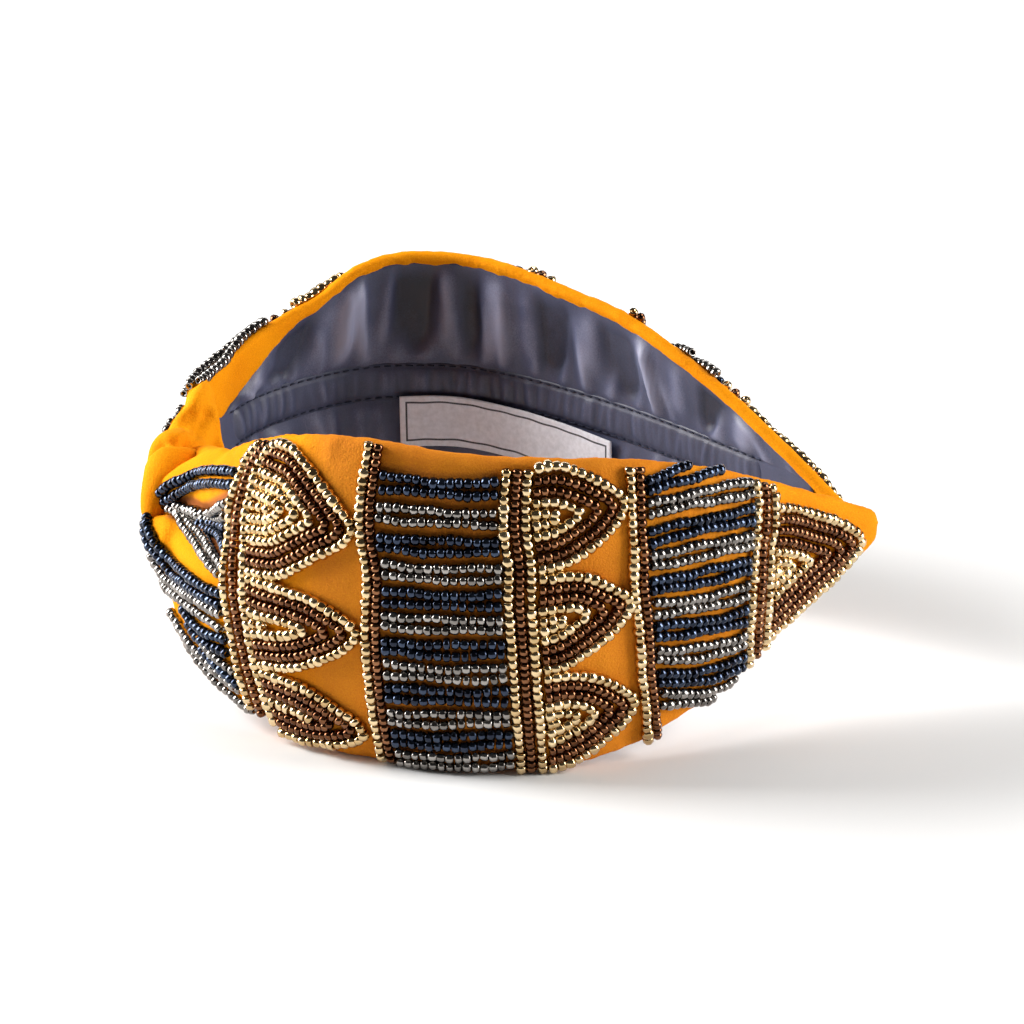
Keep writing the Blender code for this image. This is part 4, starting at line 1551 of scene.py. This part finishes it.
@dataclass
class Beadwork:
    """All the threaded strands of one arm."""

    arm: Arm
    cover: Piece
    threading: ThreadingTree
    nest_pitch: float = 2.13
    start_gap: float = 2.0
    end_gap: float = 1.3
    leg_step: float = 0.25
    leg_lead: float = 8.0
    nest_slack: float = 0.6
    lift: float = 0.9
    lowest: float = 1.3
    fine: float = 0.8
    place_rounds: int = 2
    facing_rounds: int = 6
    rim_bare: float = 0.08
    bare_runs: tuple[Floats, ...] = ((58.0, 64.0, 91.0, 95.0), (103.0, 106.0, 112.0, 118.0))
    rim_starts: Floats = (13.0, 12.0, 11.5)
    rim_shares: Floats = (-0.85, -1.0, -1.04)
    rim_depths: Floats = (0.0, 0.2, 3.0)
    rim_rise: Pair = (20.0, 36.0)
    rim_wave: float = 0.012
    # Painted shade on the cloth under the strands: its darkness under the fan, how far it reaches and
    # which side it falls on.
    fan_shade: float = 0.85
    shade_reach: Pair = (2.0, 3.6)
    shade_facing: Pair = (-0.3, 0.3)
    # Painted shade that browns the near arm's front from its first column on and fades towards the tip,
    # where the light falls off.
    tint: float = 0.37
    painted_falloff_start: Pair = (48.0, 62.0)
    painted_falloff_end: Pair = (112.0, 165.0)
    painted_falloff_loss: float = 0.75
    first_seed: int = 10
    strands: dict[Tone, list[Array]] = field(default_factory=lambda: {t: [] for t in Tone})
    painted_shade_lines: list[Array] = field(default_factory=list)

    def __post_init__(self) -> None:
        """Prepare the cover for finding the nearest cloth."""
        graph = bpy.context.evaluated_depsgraph_get()
        self.cloth = BVHTree.FromObject(self.cover, graph)

    def flat(self, rows: Array) -> Array:
        """Turn (run, share) rows into millimetres on the unrolled arm."""
        return np.stack([rows[:, 0], rows[:, 1] * self.arm.height(rows[:, 0]) / 2], axis=1)

    def bare(self, runs: Array) -> Array:
        """Return how strongly the far arm's upper rim is kept free of beads at runs."""
        return sum(ease(runs, rise, full) * (1 - ease(runs, fall, end))
                   for rise, full, fall, end in self.bare_runs)

    def lay(self, tone: Tone, rows: Array, depth: Array | float = 0.0) -> None:
        """Lay one strand on the cloth.

        Args:
            tone: the beads' tone.
            rows: (run, share) points, as on the near arm.
            depth: millimetres behind the outer face from which the nearest cloth is sought.
        """
        shares = rows[:, 1] * self.arm.side
        if self.arm.side < 0:
            lower = shares * (1 - self.rim_bare * self.bare(rows[:, 0]))
            shares = np.where(shares > 0, lower, shares)
        points = self.arm.point(rows[:, 0], shares, depth)
        self.strands[tone].append(self.settled(place(even_line(points, self.fine))))

    def settled(self, points: Array) -> Array:
        """Move a line onto the cloth and raise it by the beads' radius.

        Args:
            points: the line, in metres.

        Returns:
            The line along the beads' holes.
        """
        made = []
        facing = []
        for point in points:
            where, normal, _, _ = self.cloth.find_nearest(Vector(point))
            made.append(where)
            facing.append(normal)
        made = softened(np.array(made), self.place_rounds)
        facing = softened(np.array(facing), self.facing_rounds)
        facing /= np.linalg.norm(facing, axis=1)[:, None]
        made = made + facing * self.lift * MM
        made[:, 2] = np.maximum(made[:, 2], self.lowest * MM)
        return made

    def lay_columns(self) -> None:
        """Lay the bands across the arm."""
        for column in COLUMNS.values():
            for tone, rows in column.strands():
                self.lay(tone, rows)

    def swept(self, runs: Array, line: Array, offset: float) -> Array:
        """Find the lowest levels that a circle leaves clear as it rolls along a line.

        Args:
            runs: where the levels are wanted.
            line: dense (run, level) points.
            offset: the circle's radius.

        Returns:
            One level for each run, infinite where the circle doesn't reach.
        """
        if offset == 0.0:
            return np.where(runs <= line[-1, 0], np.interp(runs, line[:, 0], line[:, 1]), np.inf)
        reach = offset**2 - (runs[:, None] - line[None, :, 0]) ** 2
        drop = np.where(reach > 0, np.sqrt(np.maximum(reach, 0.0)), -np.inf)
        return (line[None, :, 1] - drop).min(axis=1)

    def legs(self, arrow: Arrow) -> list[Array]:
        """Trace the outer legs of an arch.

        Args:
            arrow: the arch.

        Returns:
            Dense lines for the upper and the lower leg, each with a straight lead before it.
        """
        lines = []
        for leg, sign in ((arrow.upper, 1.0), (arrow.lower, -1.0)):
            line = even_line(self.flat(curve_through(np.array(leg), 8)), self.leg_step)
            slope = sign * min(sign * (line[8, 1] - line[0, 1]) / (line[8, 0] - line[0, 0]), 0.0)
            back = np.arange(self.leg_lead, 0.0, -self.leg_step)
            lead = np.stack([line[0, 0] - back, line[0, 1] - slope * back], axis=1)
            lines.append(np.vstack([lead, line]))
        return lines

    def lay_arrow(self, arrow: Arrow) -> None:
        """Lay the nested strands of one pointed arch until it is full.

        Args:
            arrow: the arch.
        """
        before, after = COLUMNS[arrow.start], COLUMNS.get(arrow.end)
        upper, lower = self.legs(arrow)
        turned = lower * (1.0, -1.0)
        runs = np.linspace(upper[0, 0], max(upper[-1, 0], lower[-1, 0]), 500)
        half = self.arm.height(runs) / 2
        first = np.searchsorted(runs, max(arrow.upper[0][0], arrow.lower[0][0]))
        span = self.swept(runs, upper, 0.0)[first] + self.swept(runs, turned, 0.0)[first]
        count = round(span / self.nest_pitch) + 1
        pitch = span / (count - 1)
        for index in range((count + 1) // 2):
            tone = arrow.tones[min(index, len(arrow.tones) - 1)]
            high = self.swept(runs, upper, index * pitch)
            low = -self.swept(runs, turned, index * pitch)
            alone = 2 * index + 1 == count
            slack = self.nest_slack if alone else 0.0
            inside = (high >= low - slack) & np.isfinite(high) & np.isfinite(low)
            rows = []
            for level in [(high + low) / 2] if alone else [high, low]:
                shares = np.where(inside, level, 0.0) / half
                keep = inside & (runs >= before.run(shares, len(before.tones) - 1) + self.start_gap)
                if after:
                    keep &= runs <= after.run(shares) - self.end_gap
                rows.append(np.stack([runs[keep], shares[keep]], axis=1)[::5])
            if min(len(row) for row in rows) < 3:
                continue
            if alone:
                self.lay(tone, rows[0])
            else:
                apex = np.flatnonzero(inside)[-1]
                tip = np.array([[runs[apex], (high[apex] + low[apex]) / 2 / half[apex]]])
                if after:
                    tip[0, 0] = min(tip[0, 0], float(after.run(tip[0, 1])) - self.end_gap)
                self.lay(tone, np.vstack([rows[0], tip, rows[1][::-1]]))

    def lay_rim_strands(self) -> None:
        """Lay the strands that run from the knot along the rim to the first column."""
        column = COLUMNS["knot"]
        for start, share, depth in zip(self.rim_starts, self.rim_shares, self.rim_depths):
            runs = np.linspace(start, float(column.run(share)) - self.start_gap, 24)
            shares = share + self.rim_wave * np.sin(runs / 5.0 + share * 9.0)
            deep = depth * ease(-runs, -self.rim_rise[1], -self.rim_rise[0])
            self.lay(Tone.STEEL, np.stack([runs, shares], axis=1), deep)

    def lay_fan(self) -> None:
        """Lay the strands that come out of the knot."""
        for strand in FAN:
            rows = np.array(strand.points)
            points = self.arm.point(rows[:, 0], rows[:, 1] * self.arm.side, rows[:, 2])
            line = self.settled(place(even_line(curve_through(points, 5), self.fine)))
            self.strands[strand.tone].append(line)
            # Painted shade on the cloth under these strands.
            if strand in SHADED_FAN and self.arm.side > 0:
                self.painted_shade_lines.append(np.column_stack([line, np.full(len(line), self.fan_shade)]))

    def lay_panel(self, panel: Panel) -> None:
        """Lay the pairs of strands of one panel.

        Args:
            panel: the panel.
        """
        start, end = COLUMNS[panel.start], COLUMNS[panel.end]
        parts = np.linspace(0.0, 1.0, 22)
        for index, (first, last) in enumerate(zip(panel.start_shares, panel.end_shares)):
            tone = panel.tones[index % 2]
            near = float(start.run(first, len(start.tones) - 1)) + self.start_gap
            far = float(end.run(last)) - self.start_gap
            runs = near + (far - near) * parts
            for half in (-0.5, 0.5):
                wave = sum(size * np.sin(parts * along + index * pairs + half * sides)
                           for size, along, pairs, sides in PANEL_WAVES)
                shares = first + (last - first) * parts
                shares = shares + (half * panel.split + wave) * 2 / self.arm.height(runs)
                keep = np.abs(shares) < 1.0
                self.lay(tone, np.stack([runs[keep], shares[keep]], axis=1))
                line = self.strands[tone][-1]
                # Painted shade on the cloth under the panel's strands.
                self.painted_shade_lines.append(np.column_stack([line, np.full(len(line), panel.shade)]))

    def build(self, finishes: dict[Tone, Material]) -> list[Piece]:
        """Lay and thread every strand.

        Args:
            finishes: the material of each tone.

        Returns:
            One piece for each tone.
        """
        self.lay_fan()
        self.lay_rim_strands()
        self.lay_columns()
        for arrow in ARROWS:
            self.lay_arrow(arrow)
        for panel in PANELS:
            self.lay_panel(panel)
        self.darken()
        made = []
        for seed, tone in enumerate(Tone):
            name = f"{self.arm.name}_{tone.name.lower()}_strands"
            piece = self.threading.thread(name, self.strands[tone], BEAD_SIZES[tone],
                                          seed + self.first_seed, finishes[tone])
            own(piece, tone.value, *self.solids(tone))
            made.append(piece)
        return made

    def darken(self) -> None:
        """Store on the cover the painted shade under the strands, and on the near arm's front."""
        rows = np.vstack(self.painted_shade_lines)
        tree = KDTree(len(rows))
        for index, row in enumerate(rows):
            tree.insert(row[:3], index)
        tree.balance()
        sculpt = Sculpt(self.cover)
        normals = sculpt.normals()
        points = place(sculpt.points)
        found = [tree.find(point) for point in points]
        spans = np.array([span for _, _, span in found]) / MM
        toward = (np.array([where for where, _, _ in found]) - points) / MM
        facing = (toward * normals).sum(axis=1) / np.maximum(spans, 0.01)
        near = ease(-spans, -self.shade_reach[1], -self.shade_reach[0])
        shade = rows[[index for _, index, _ in found], 3] * near
        shade *= ease(facing, *self.shade_facing)
        # Painted shade: the near arm's front is browned between its first column and its tip.
        if self.arm.side > 0:
            runs = self.arm.run_near(sculpt.points)
            tint = self.tint * ease(runs, *self.painted_falloff_start)
            shade = np.maximum(shade, tint * (1 - self.painted_falloff_loss * ease(runs, *self.painted_falloff_end)))
        point_values(self.cover, "painted_shade", shade)

    def solids(self, tone: Tone) -> list[str]:
        """Name the solids that the strands of a tone stand for.

        Args:
            tone: the tone.

        Returns:
            The names of their nodes.
        """
        arm = self.arm.name
        columns = [f"{arm}_column_{name}" for name in ("knot", "a", "b", "c", "d")]
        arrows = [f"{arm}_arrow_{name}" for name in ("a1", "a2", "a3", "b1", "b2", "b3", "tip")]
        return {
            Tone.GOLD: columns + arrows,
            Tone.BRONZE: arrows,
            Tone.NAVY: [f"{arm}_panel_a_navy", f"{arm}_panel_b_navy", f"{arm}_fan"],
            Tone.STEEL: [f"{arm}_panel_a_steel", f"{arm}_panel_b_steel", f"{arm}_fan"],
        }[tone]


@dataclass(frozen=True)
class Gathers:
    """The ranges from which small gathers are drawn."""

    size: Pair
    width: Pair
    lean: Pair
    spacing: Pair


LINING_GATHERS = Gathers((0.4, 1.6), (0.9, 2.3), (-7.0, 7.0), (3.0, 8.0))
CASING_GATHERS = Gathers((0.2, 0.6), (0.55, 1.0), (-1.6, 1.6), (1.5, 3.2))

# The broad folds of the satin above the casing: run, lean, height and width.
SATIN_FOLDS = (
    (24.0, 3.0, -1.0, 4.0), (33.0, 2.0, 0.8, 2.2), (42.0, 6.0, -1.7, 5.0), (50.0, 3.0, 0.7, 3.0),
    (57.5, 2.0, 2.1, 2.4), (62.5, -1.0, 1.3, 1.2), (66.0, 3.0, 0.9, 1.5), (74.0, 0.0, -2.0, 4.6),
    (79.5, 1.0, 1.2, 2.0), (84.5, 3.0, -1.4, 2.6), (92.0, 0.0, 1.0, 4.0), (99.0, 1.0, 0.7, 2.0),
    (106.0, 0.0, -1.6, 5.0), (115.0, 3.0, 0.9, 4.0), (127.0, -5.0, -1.8, 5.0),
    (135.5, -4.0, 1.4, 1.6), (142.0, 0.0, 0.6, 2.5), (150.0, 2.0, -1.2, 4.0), (160.0, 2.0, 1.0, 3.0),
)


@dataclass
class Lining:
    """The gathered satin of one arm with its ruched casing and stitches."""

    arm: Arm
    seed: int
    calm: float = 0.0
    calm_runs: Floats = (64.0, 72.0, 120.0, 128.0)
    start: float = 20.0
    start_dip: float = 1.4
    start_reach: float = 2.6
    end_gap: float = 9.0
    step: float = 0.9
    across: int = 54
    edge_inset: float = 1.0
    thickness: float = 0.35
    first_fold: float = 7.0
    fold_reach: Pair = (0.45, 1.3)
    fold_sway: Pair = (0.0, 1.2)
    fold_share: float = 0.6
    fold_limits: Pair = (-0.75, 2.3)
    fold_height: float = 1.25
    # The middle and strength of the painted light on fold ridges and painted shade in fold valleys.
    fold_shade: Pair = (0.42, 0.36)
    full_height: float = 34.0
    lift: float = 0.75
    billow: float = 0.9
    billow_share: float = 0.6
    casing_low: float = -3.2
    casing_high: float = 4.2
    casing_edge: float = 0.6
    casing_lift: float = 0.9
    casing_run: float = 24.0
    casing_gap: float = 13.0
    casing_step: float = 0.55
    casing_thickness: float = 0.4
    # The plain value and strength of the painted light on the casing's gathers.
    casing_shade: Pair = (0.3, 0.45)
    held: Pair = (0.02, 0.4)
    puff: float = 0.25
    pinch: float = 0.3
    pinch_place: float = 0.09
    end_reach: float = 5.0
    end_dip: float = 1.3
    edge_dip: float = 0.25
    stitch_run: float = 26.0
    stitch_inset: float = 10.4
    stitch_gap: float = 15.0
    stitch_step: float = 1.2
    stitch_lift: float = 0.38

    def edges(self, runs: Array) -> tuple[Array, Array]:
        """Return the heights above the low rim of the lining's two edges at runs."""
        hem = self.arm.hem(runs) - self.edge_inset
        return hem, self.arm.height(runs) - hem

    def gathers(self, runs: Array, part: Array, upper: bool) -> Array:
        """Work out the height of the folds between the casing and a hem.

        Args:
            runs: run of each point.
            part: 0 at the casing's stitches to 1 at the hem.
            upper: whether this is the half above the casing.

        Returns:
            Millimetres that each point stands proud.
        """
        random = np.random.default_rng(self.seed + int(upper))
        drawn = LINING_GATHERS
        total = np.zeros_like(runs)
        at = self.first_fold
        while at < self.arm.length:
            size = random.uniform(*drawn.size)
            width = random.uniform(*drawn.width)
            lean = random.uniform(*drawn.lean)
            reach = random.uniform(*self.fold_reach)
            offset = runs - at - lean * part - random.uniform(*self.fold_sway) * np.sin(part * 5.0)
            total += size * np.exp(-np.abs(offset / width) ** 1.6) * np.exp(-(part / reach) ** 3)
            at += random.uniform(*drawn.spacing)
        total *= self.fold_share
        for at, lean, height, width in SATIN_FOLDS if upper else ():
            total += height * bell(runs - at - lean * part, 0.0, width) * ease(part, 0.0, 0.4)
        if not upper:
            rise, full, fall, end = self.calm_runs
            total = total * (1 - self.calm * ease(runs, rise, full) * ease(-runs, -end, -fall))
        return np.clip(total, *self.fold_limits) * ease(part, 0.0, 0.12) * ease(1 - part, 0.0, 0.25)

    def surface(self) -> tuple[Array, Array, Array, Array]:
        """Work out the lining's face.

        Returns:
            Its runs, shares, depths and fold heights, as grids.
        """
        count = round((self.arm.length - self.end_gap - self.start) / self.step) + 1
        run_line = np.linspace(self.start, self.arm.length - self.end_gap, count)
        low, high = (edge[:, None] for edge in self.edges(run_line))
        runs = np.repeat(run_line[:, None], self.across, axis=1)
        levels = low + (high - low) * np.linspace(0.0, 1.0, self.across)
        rim = self.arm.at(run_line)[:, LOW_Z][:, None]
        casing_low, casing_high = self.casing_low - rim, self.casing_high - rim
        upper = np.clip((levels - casing_high) / np.maximum(high - casing_high, 1), 0, 1)
        lower = np.clip((casing_low - levels) / np.maximum(casing_low - low, 1), 0, 1)
        size = np.minimum(1.0, (high - low) / self.full_height)
        folds = np.where(levels > casing_high, self.gathers(runs, upper, True), 0.0)
        folds = folds + np.where(levels < casing_low, self.gathers(runs, lower, False), 0.0)
        billow = self.billow * np.sin(np.pi * upper) + self.billow * np.sin(np.pi * lower)
        shares = 2 * levels / self.arm.height(run_line)[:, None] - 1
        _, inner = self.arm.inner(runs, shares)
        depth = inner + self.lift + (folds * self.fold_height + billow * self.billow_share) * size
        depth = depth - self.start_dip * ease(self.start - runs, -self.start_reach, 0.0)
        return runs, shares, depth, folds

    def build(self, finish: Material) -> Piece:
        """Build the lining as a thin closed sheet.

        Args:
            finish: its material.

        Returns:
            The piece.
        """
        runs, shares, depth, folds = self.surface()
        points = self.arm.point(runs.ravel(), shares.ravel(), depth.ravel())
        made = mesh_object(f"{self.arm.name}_lining_satin", place(points),
                           grid_faces(*runs.shape, closed=False))
        # Painted light on the folds' ridges and painted shade in their valleys.
        middle, strength = self.fold_shade
        point_values(made, "painted_fold_shading", np.clip(middle + strength * folds.ravel(), 0.0, 1.0))
        thickened(made, self.thickness)
        made.data.materials.append(finish)
        return made

    def strip(self, name: str, levels: Array, runs: Array, lift: Array,
              thickness: float, folds: Array | float = 0.5) -> Piece:
        """Build a thin strip on the lining.

        Args:
            name: the piece's name.
            levels: heights from the mid-plane, as a grid or one row.
            runs: runs of the strip's rows.
            lift: how far each point stands in front of the recessed inner face.
            thickness: the strip's thickness in millimetres.
            folds: the painted light and shade of the folds, as a grid or one value.

        Returns:
            The new object, with a UV map that runs along and across it.
        """
        grid = np.repeat(runs[:, None], levels.shape[-1], axis=1)
        levels = np.broadcast_to(levels, grid.shape)
        rim = self.arm.at(runs)[:, LOW_Z][:, None]
        shares = 2 * (levels - rim) / self.arm.height(runs)[:, None] - 1
        _, inner = self.arm.inner(grid, shares)
        points = self.arm.point(grid.ravel(), shares.ravel(), (inner + lift).ravel())
        made = mesh_object(name, place(points), grid_faces(*grid.shape, closed=False))
        point_values(made, "painted_fold_shading", np.broadcast_to(folds, grid.shape).ravel())
        layer = made.data.uv_layers.new(name="UVMap")
        along = (grid - runs[0]) / (runs[-1] - runs[0])
        lowest, highest = levels.min(axis=1)[:, None], levels.max(axis=1)[:, None]
        places = np.stack([along.ravel(), ((levels - lowest) / (highest - lowest)).ravel()], axis=1)
        corners = np.zeros(len(made.data.loops), dtype=np.int64)
        made.data.loops.foreach_get("vertex_index", corners)
        layer.data.foreach_set("uv", places[corners].ravel())
        return thickened(made, thickness)

    def casing(self, finish: Material) -> Piece:
        """Build the ruched casing between its two lines of stitches.

        Args:
            finish: its material.

        Returns:
            The piece.
        """
        random = np.random.default_rng(self.seed + 5)
        drawn = CASING_GATHERS
        last = self.arm.length - self.end_gap - self.casing_gap
        runs = np.arange(self.casing_run, last, self.casing_step)
        parts = np.linspace(0.0, 1.0, 20)
        reach = self.casing_high - self.casing_low + 2 * self.casing_edge
        levels = self.casing_low - self.casing_edge + reach * parts
        height = np.zeros((len(runs), len(parts)))
        at = runs[0]
        while at < runs[-1]:
            width = random.uniform(*drawn.width)
            lean = random.uniform(*drawn.lean)
            offset = runs[:, None] - at - lean * (parts[None, :] - 0.5)
            height += random.uniform(*drawn.size) * np.exp(-(offset / width) ** 2)
            at += random.uniform(*drawn.spacing)
        held = np.minimum(ease(parts, *self.held), ease(1 - parts, *self.held))
        puff = self.puff * np.sin(np.pi * parts)
        pinch = bell(parts, self.pinch_place, 0.05) + bell(parts, 1 - self.pinch_place, 0.05)
        lift = self.casing_lift + 0.2 + height * held + puff - self.pinch * pinch
        ends = np.minimum(ease(runs - runs[0], 0.0, self.end_reach),
                          ease(runs[-1] - runs, 0.0, self.end_reach))
        edges = bell(parts, 0.0, 0.04) + bell(parts, 1.0, 0.04)
        lift = lift - self.end_dip * (1 - ends[:, None]) - self.edge_dip * edges
        # Painted light on the casing's gathers, more where they stand higher.
        plain, painted_fold_shading = self.casing_shade
        made = self.strip(f"{self.arm.name}_casing_satin", levels[None, :], runs, lift,
                          self.casing_thickness, plain + painted_fold_shading * height * held)
        made.data.materials.append(finish)
        return made

    def stitches(self, threading: ThreadingTree, finish: Material) -> Piece:
        """Build the two lines of stitches along the casing.

        Args:
            threading: the nodes that thread them.
            finish: their material.

        Returns:
            The piece.
        """
        first = max(self.stitch_run, self.start + self.stitch_inset)
        last = self.arm.length - self.end_gap - self.stitch_gap
        runs = np.arange(first, last, self.stitch_step)
        lines = []
        for level in (self.casing_low, self.casing_high):
            shares = self.arm.share_of_level(runs, level)
            _, inner = self.arm.inner(runs, shares)
            points = self.arm.point(runs, shares, inner + self.casing_lift + self.stitch_lift)
            lines.append(place(points))
        return threading.thread(f"{self.arm.name}_casing_stitches", lines, STITCH_SIZE, 3, finish)


@dataclass
class Label:
    """The bare sewn label under the far arm's casing."""

    lining: Lining
    run: float = 96.0
    length: float = 52.0
    height: float = 11.5
    thickness: float = 0.35
    top: float = -2.6
    droop: float = 1.6
    top_wave: float = 0.25
    lift: float = 2.75
    long_wave: float = 0.35
    short_wave: float = 0.25

    def build(self, finish: LabelFinish) -> Piece:
        """Build the label with its soft waves.

        Args:
            finish: its look.

        Returns:
            The piece.
        """
        runs = np.linspace(self.run - self.length / 2, self.run + self.length / 2, 90)
        parts = np.linspace(0.0, 1.0, 24)
        along = (runs - runs[0]) / self.length
        top = self.top - self.droop * ease(along, 0.5, 1.0) + self.top_wave * np.sin(along * 9.0)
        levels = top[:, None] - self.height * (1 - parts[None, :])
        wave = self.long_wave * np.sin(along * 11.0 + 0.6)[:, None] * (1.2 - parts[None, :])
        wave = wave + (self.short_wave * np.sin(along * 23.0)[:, None]
                       * np.sin(np.pi * parts)[None, :])
        made = self.lining.strip("label_ribbon", levels, runs, self.lift + wave, self.thickness)
        made.data.materials.append(finish.material(self.length, self.height))
        return made


@dataclass(frozen=True)
class Softbox:
    """A rectangular light that faces the headband: its place and size in metres and its watts."""

    name: str
    spot: Point
    wide: float
    tall: float
    power: float
    glossy: bool = True


SOFTBOXES = (
    Softbox("softbox_top", (-0.1, 0.05, 1.0), 0.5, 0.5, 1.5, glossy=False),
    Softbox("softbox_left", (-0.9, 0.1, 0.42), 0.45, 0.8, 22.5),
    Softbox("softbox_right", (0.92, -0.1, 0.36), 0.45, 0.75, 13.5),
    Softbox("softbox_front", (0.1, -1.0, 0.6), 0.5, 0.5, 0.25, glossy=False),
    Softbox("softbox_back", (-0.15, 1.15, 0.5), 1.5, 0.45, 4.5),
)


@dataclass
class Studio:
    """The pale floor, the soft lights and the camera."""

    azimuth: float = 4.0
    elevation: float = 21.0
    distance: float = 1.2
    focal_pixels: float = 5700.0
    image: float = 1024.0
    centre: Pair = (514.0, 500.0)
    target: Point = (0.00116, -0.00263, 0.0345)
    paper: Colour = (0.85, 0.85, 0.85)
    floor_reach: float = 4.0
    light_colour: Colour = (1.0, 0.99, 0.975)
    air: float = 0.055

    def floor(self) -> None:
        """Make the floor."""
        corners = np.array([[-1, -1, 0], [1, -1, 0], [1, 1, 0], [-1, 1, 0]]) * self.floor_reach
        made = mesh_object("studio_floor", corners, [(0, 1, 2, 3)])
        shade = Shader("studio_paper", self.paper, 0.9)
        made.data.materials.append(shade.material)

    def light(self, box: Softbox) -> None:
        """Make one light.

        Args:
            box: what it is.
        """
        data = bpy.data.lights.new(box.name, "AREA")
        data.shape = "RECTANGLE"
        data.size = box.wide
        data.size_y = box.tall
        data.energy = box.power
        data.color = self.light_colour
        made = bpy.data.objects.new(box.name, data)
        made.visible_glossy = box.glossy
        made.location = box.spot
        made.rotation_mode = "QUATERNION"
        toward = Vector(self.target) - Vector(box.spot)
        made.rotation_quaternion = toward.to_track_quat("-Z", "Y")
        bpy.context.scene.collection.objects.link(made)

    def lights(self) -> None:
        """Make the lights and the pale surroundings."""
        world = bpy.data.worlds.new("studio_air")
        world.use_nodes = True
        world.node_tree.nodes["Background"].inputs[0].default_value = (1.0, 1.0, 1.0, 1.0)
        world.node_tree.nodes["Background"].inputs[1].default_value = self.air
        bpy.context.scene.world = world
        for box in SOFTBOXES:
            self.light(box)
        bpy.context.scene.view_settings.view_transform = "Standard"

    def camera(self) -> None:
        """Make the camera at the photograph's angle."""
        turn, rise = math.radians(self.azimuth), math.radians(self.elevation)
        back = Vector((math.sin(turn) * math.cos(rise), -math.cos(turn) * math.cos(rise),
                       math.sin(rise)))
        data = bpy.data.cameras.new("studio_camera")
        data.lens = self.focal_pixels * data.sensor_width / self.image
        data.shift_x = (self.image / 2 - self.centre[0]) / self.image
        data.shift_y = (self.centre[1] - self.image / 2) / self.image
        data.clip_start = 0.05
        data.clip_end = 30.0
        made = bpy.data.objects.new("studio_camera", data)
        made.location = Vector(self.target) + back * self.distance
        made.rotation_mode = "QUATERNION"
        made.rotation_quaternion = (-back).to_track_quat("-Z", "Y")
        bpy.context.scene.collection.objects.link(made)
        bpy.context.scene.camera = made

    def build(self) -> None:
        """Make the whole studio."""
        self.floor()
        self.lights()
        self.camera()


class Headband:
    """The whole headband: its finishes and both arms."""

    def __init__(self) -> None:
        """Make the finishes that both arms share."""
        self.crepe = CrepeFinish().material()
        self.satin = SatinFinish().material()
        self.thread = ThreadFinish().material()
        self.beads = {tone: finish.material() for tone, finish in BEAD_FINISHES.items()}
        self.threading = ThreadingTree()

    def build(self) -> None:
        """Build both arms in order, and the label."""
        near = Arm("near", 1.0, NEAR_SECTIONS)
        self.dress(near, Lining(near, 21))
        far = Arm("far", -1.0, FAR_SECTIONS)
        far_lining = Lining(far, 42, calm=0.8, start=13.5)
        satin_sheet = self.dress(far, far_lining)
        label = Label(far_lining).build(LabelFinish())
        own(label, "label_cloth", "label")
        self.report(label)

    def dress(self, arm: Arm, lining: Lining) -> Piece:
        """Build one arm's pieces.

        Args:
            arm: the arm.
            lining: its lining.

        Returns:
            The lining's piece.
        """
        cover = Cover(arm).build(self.crepe)
        own(cover, "cloth", f"{arm.name}_cover")
        satin_sheet = lining.build(self.satin)
        own(satin_sheet, "satin", f"{arm.name}_lining")
        casing = lining.casing(self.satin)
        own(casing, "satin", f"{arm.name}_casing")
        stitches = lining.stitches(self.threading, self.thread)
        own(stitches, "satin")
        beads = Beadwork(arm, cover, self.threading).build(self.beads)
        for piece in (cover, satin_sheet, casing, stitches, *beads):
            self.report(piece)
        return satin_sheet

    def report(self, piece: Piece) -> None:
        """Log how many triangles a piece has."""
        triangles = sum(len(face.vertices) - 2 for face in piece.data.polygons)
        LOG.info("%s: %d triangles", piece.name, triangles)


def clear_start() -> None:
    """Remove what a new Blender file holds beside the frame."""
    kept = {*frame["nodes"].values(), *frame["bodies"].values()}
    for old in list(bpy.data.objects):
        if old not in kept:
            bpy.data.objects.remove(old)


def main() -> None:
    """Build the studio and the headband."""
    logging.basicConfig(level=logging.INFO, stream=sys.stdout, format="%(name)s: %(message)s")
    clear_start()
    Studio().build()
    Headband().build()


if __name__ == "__main__":
    main()
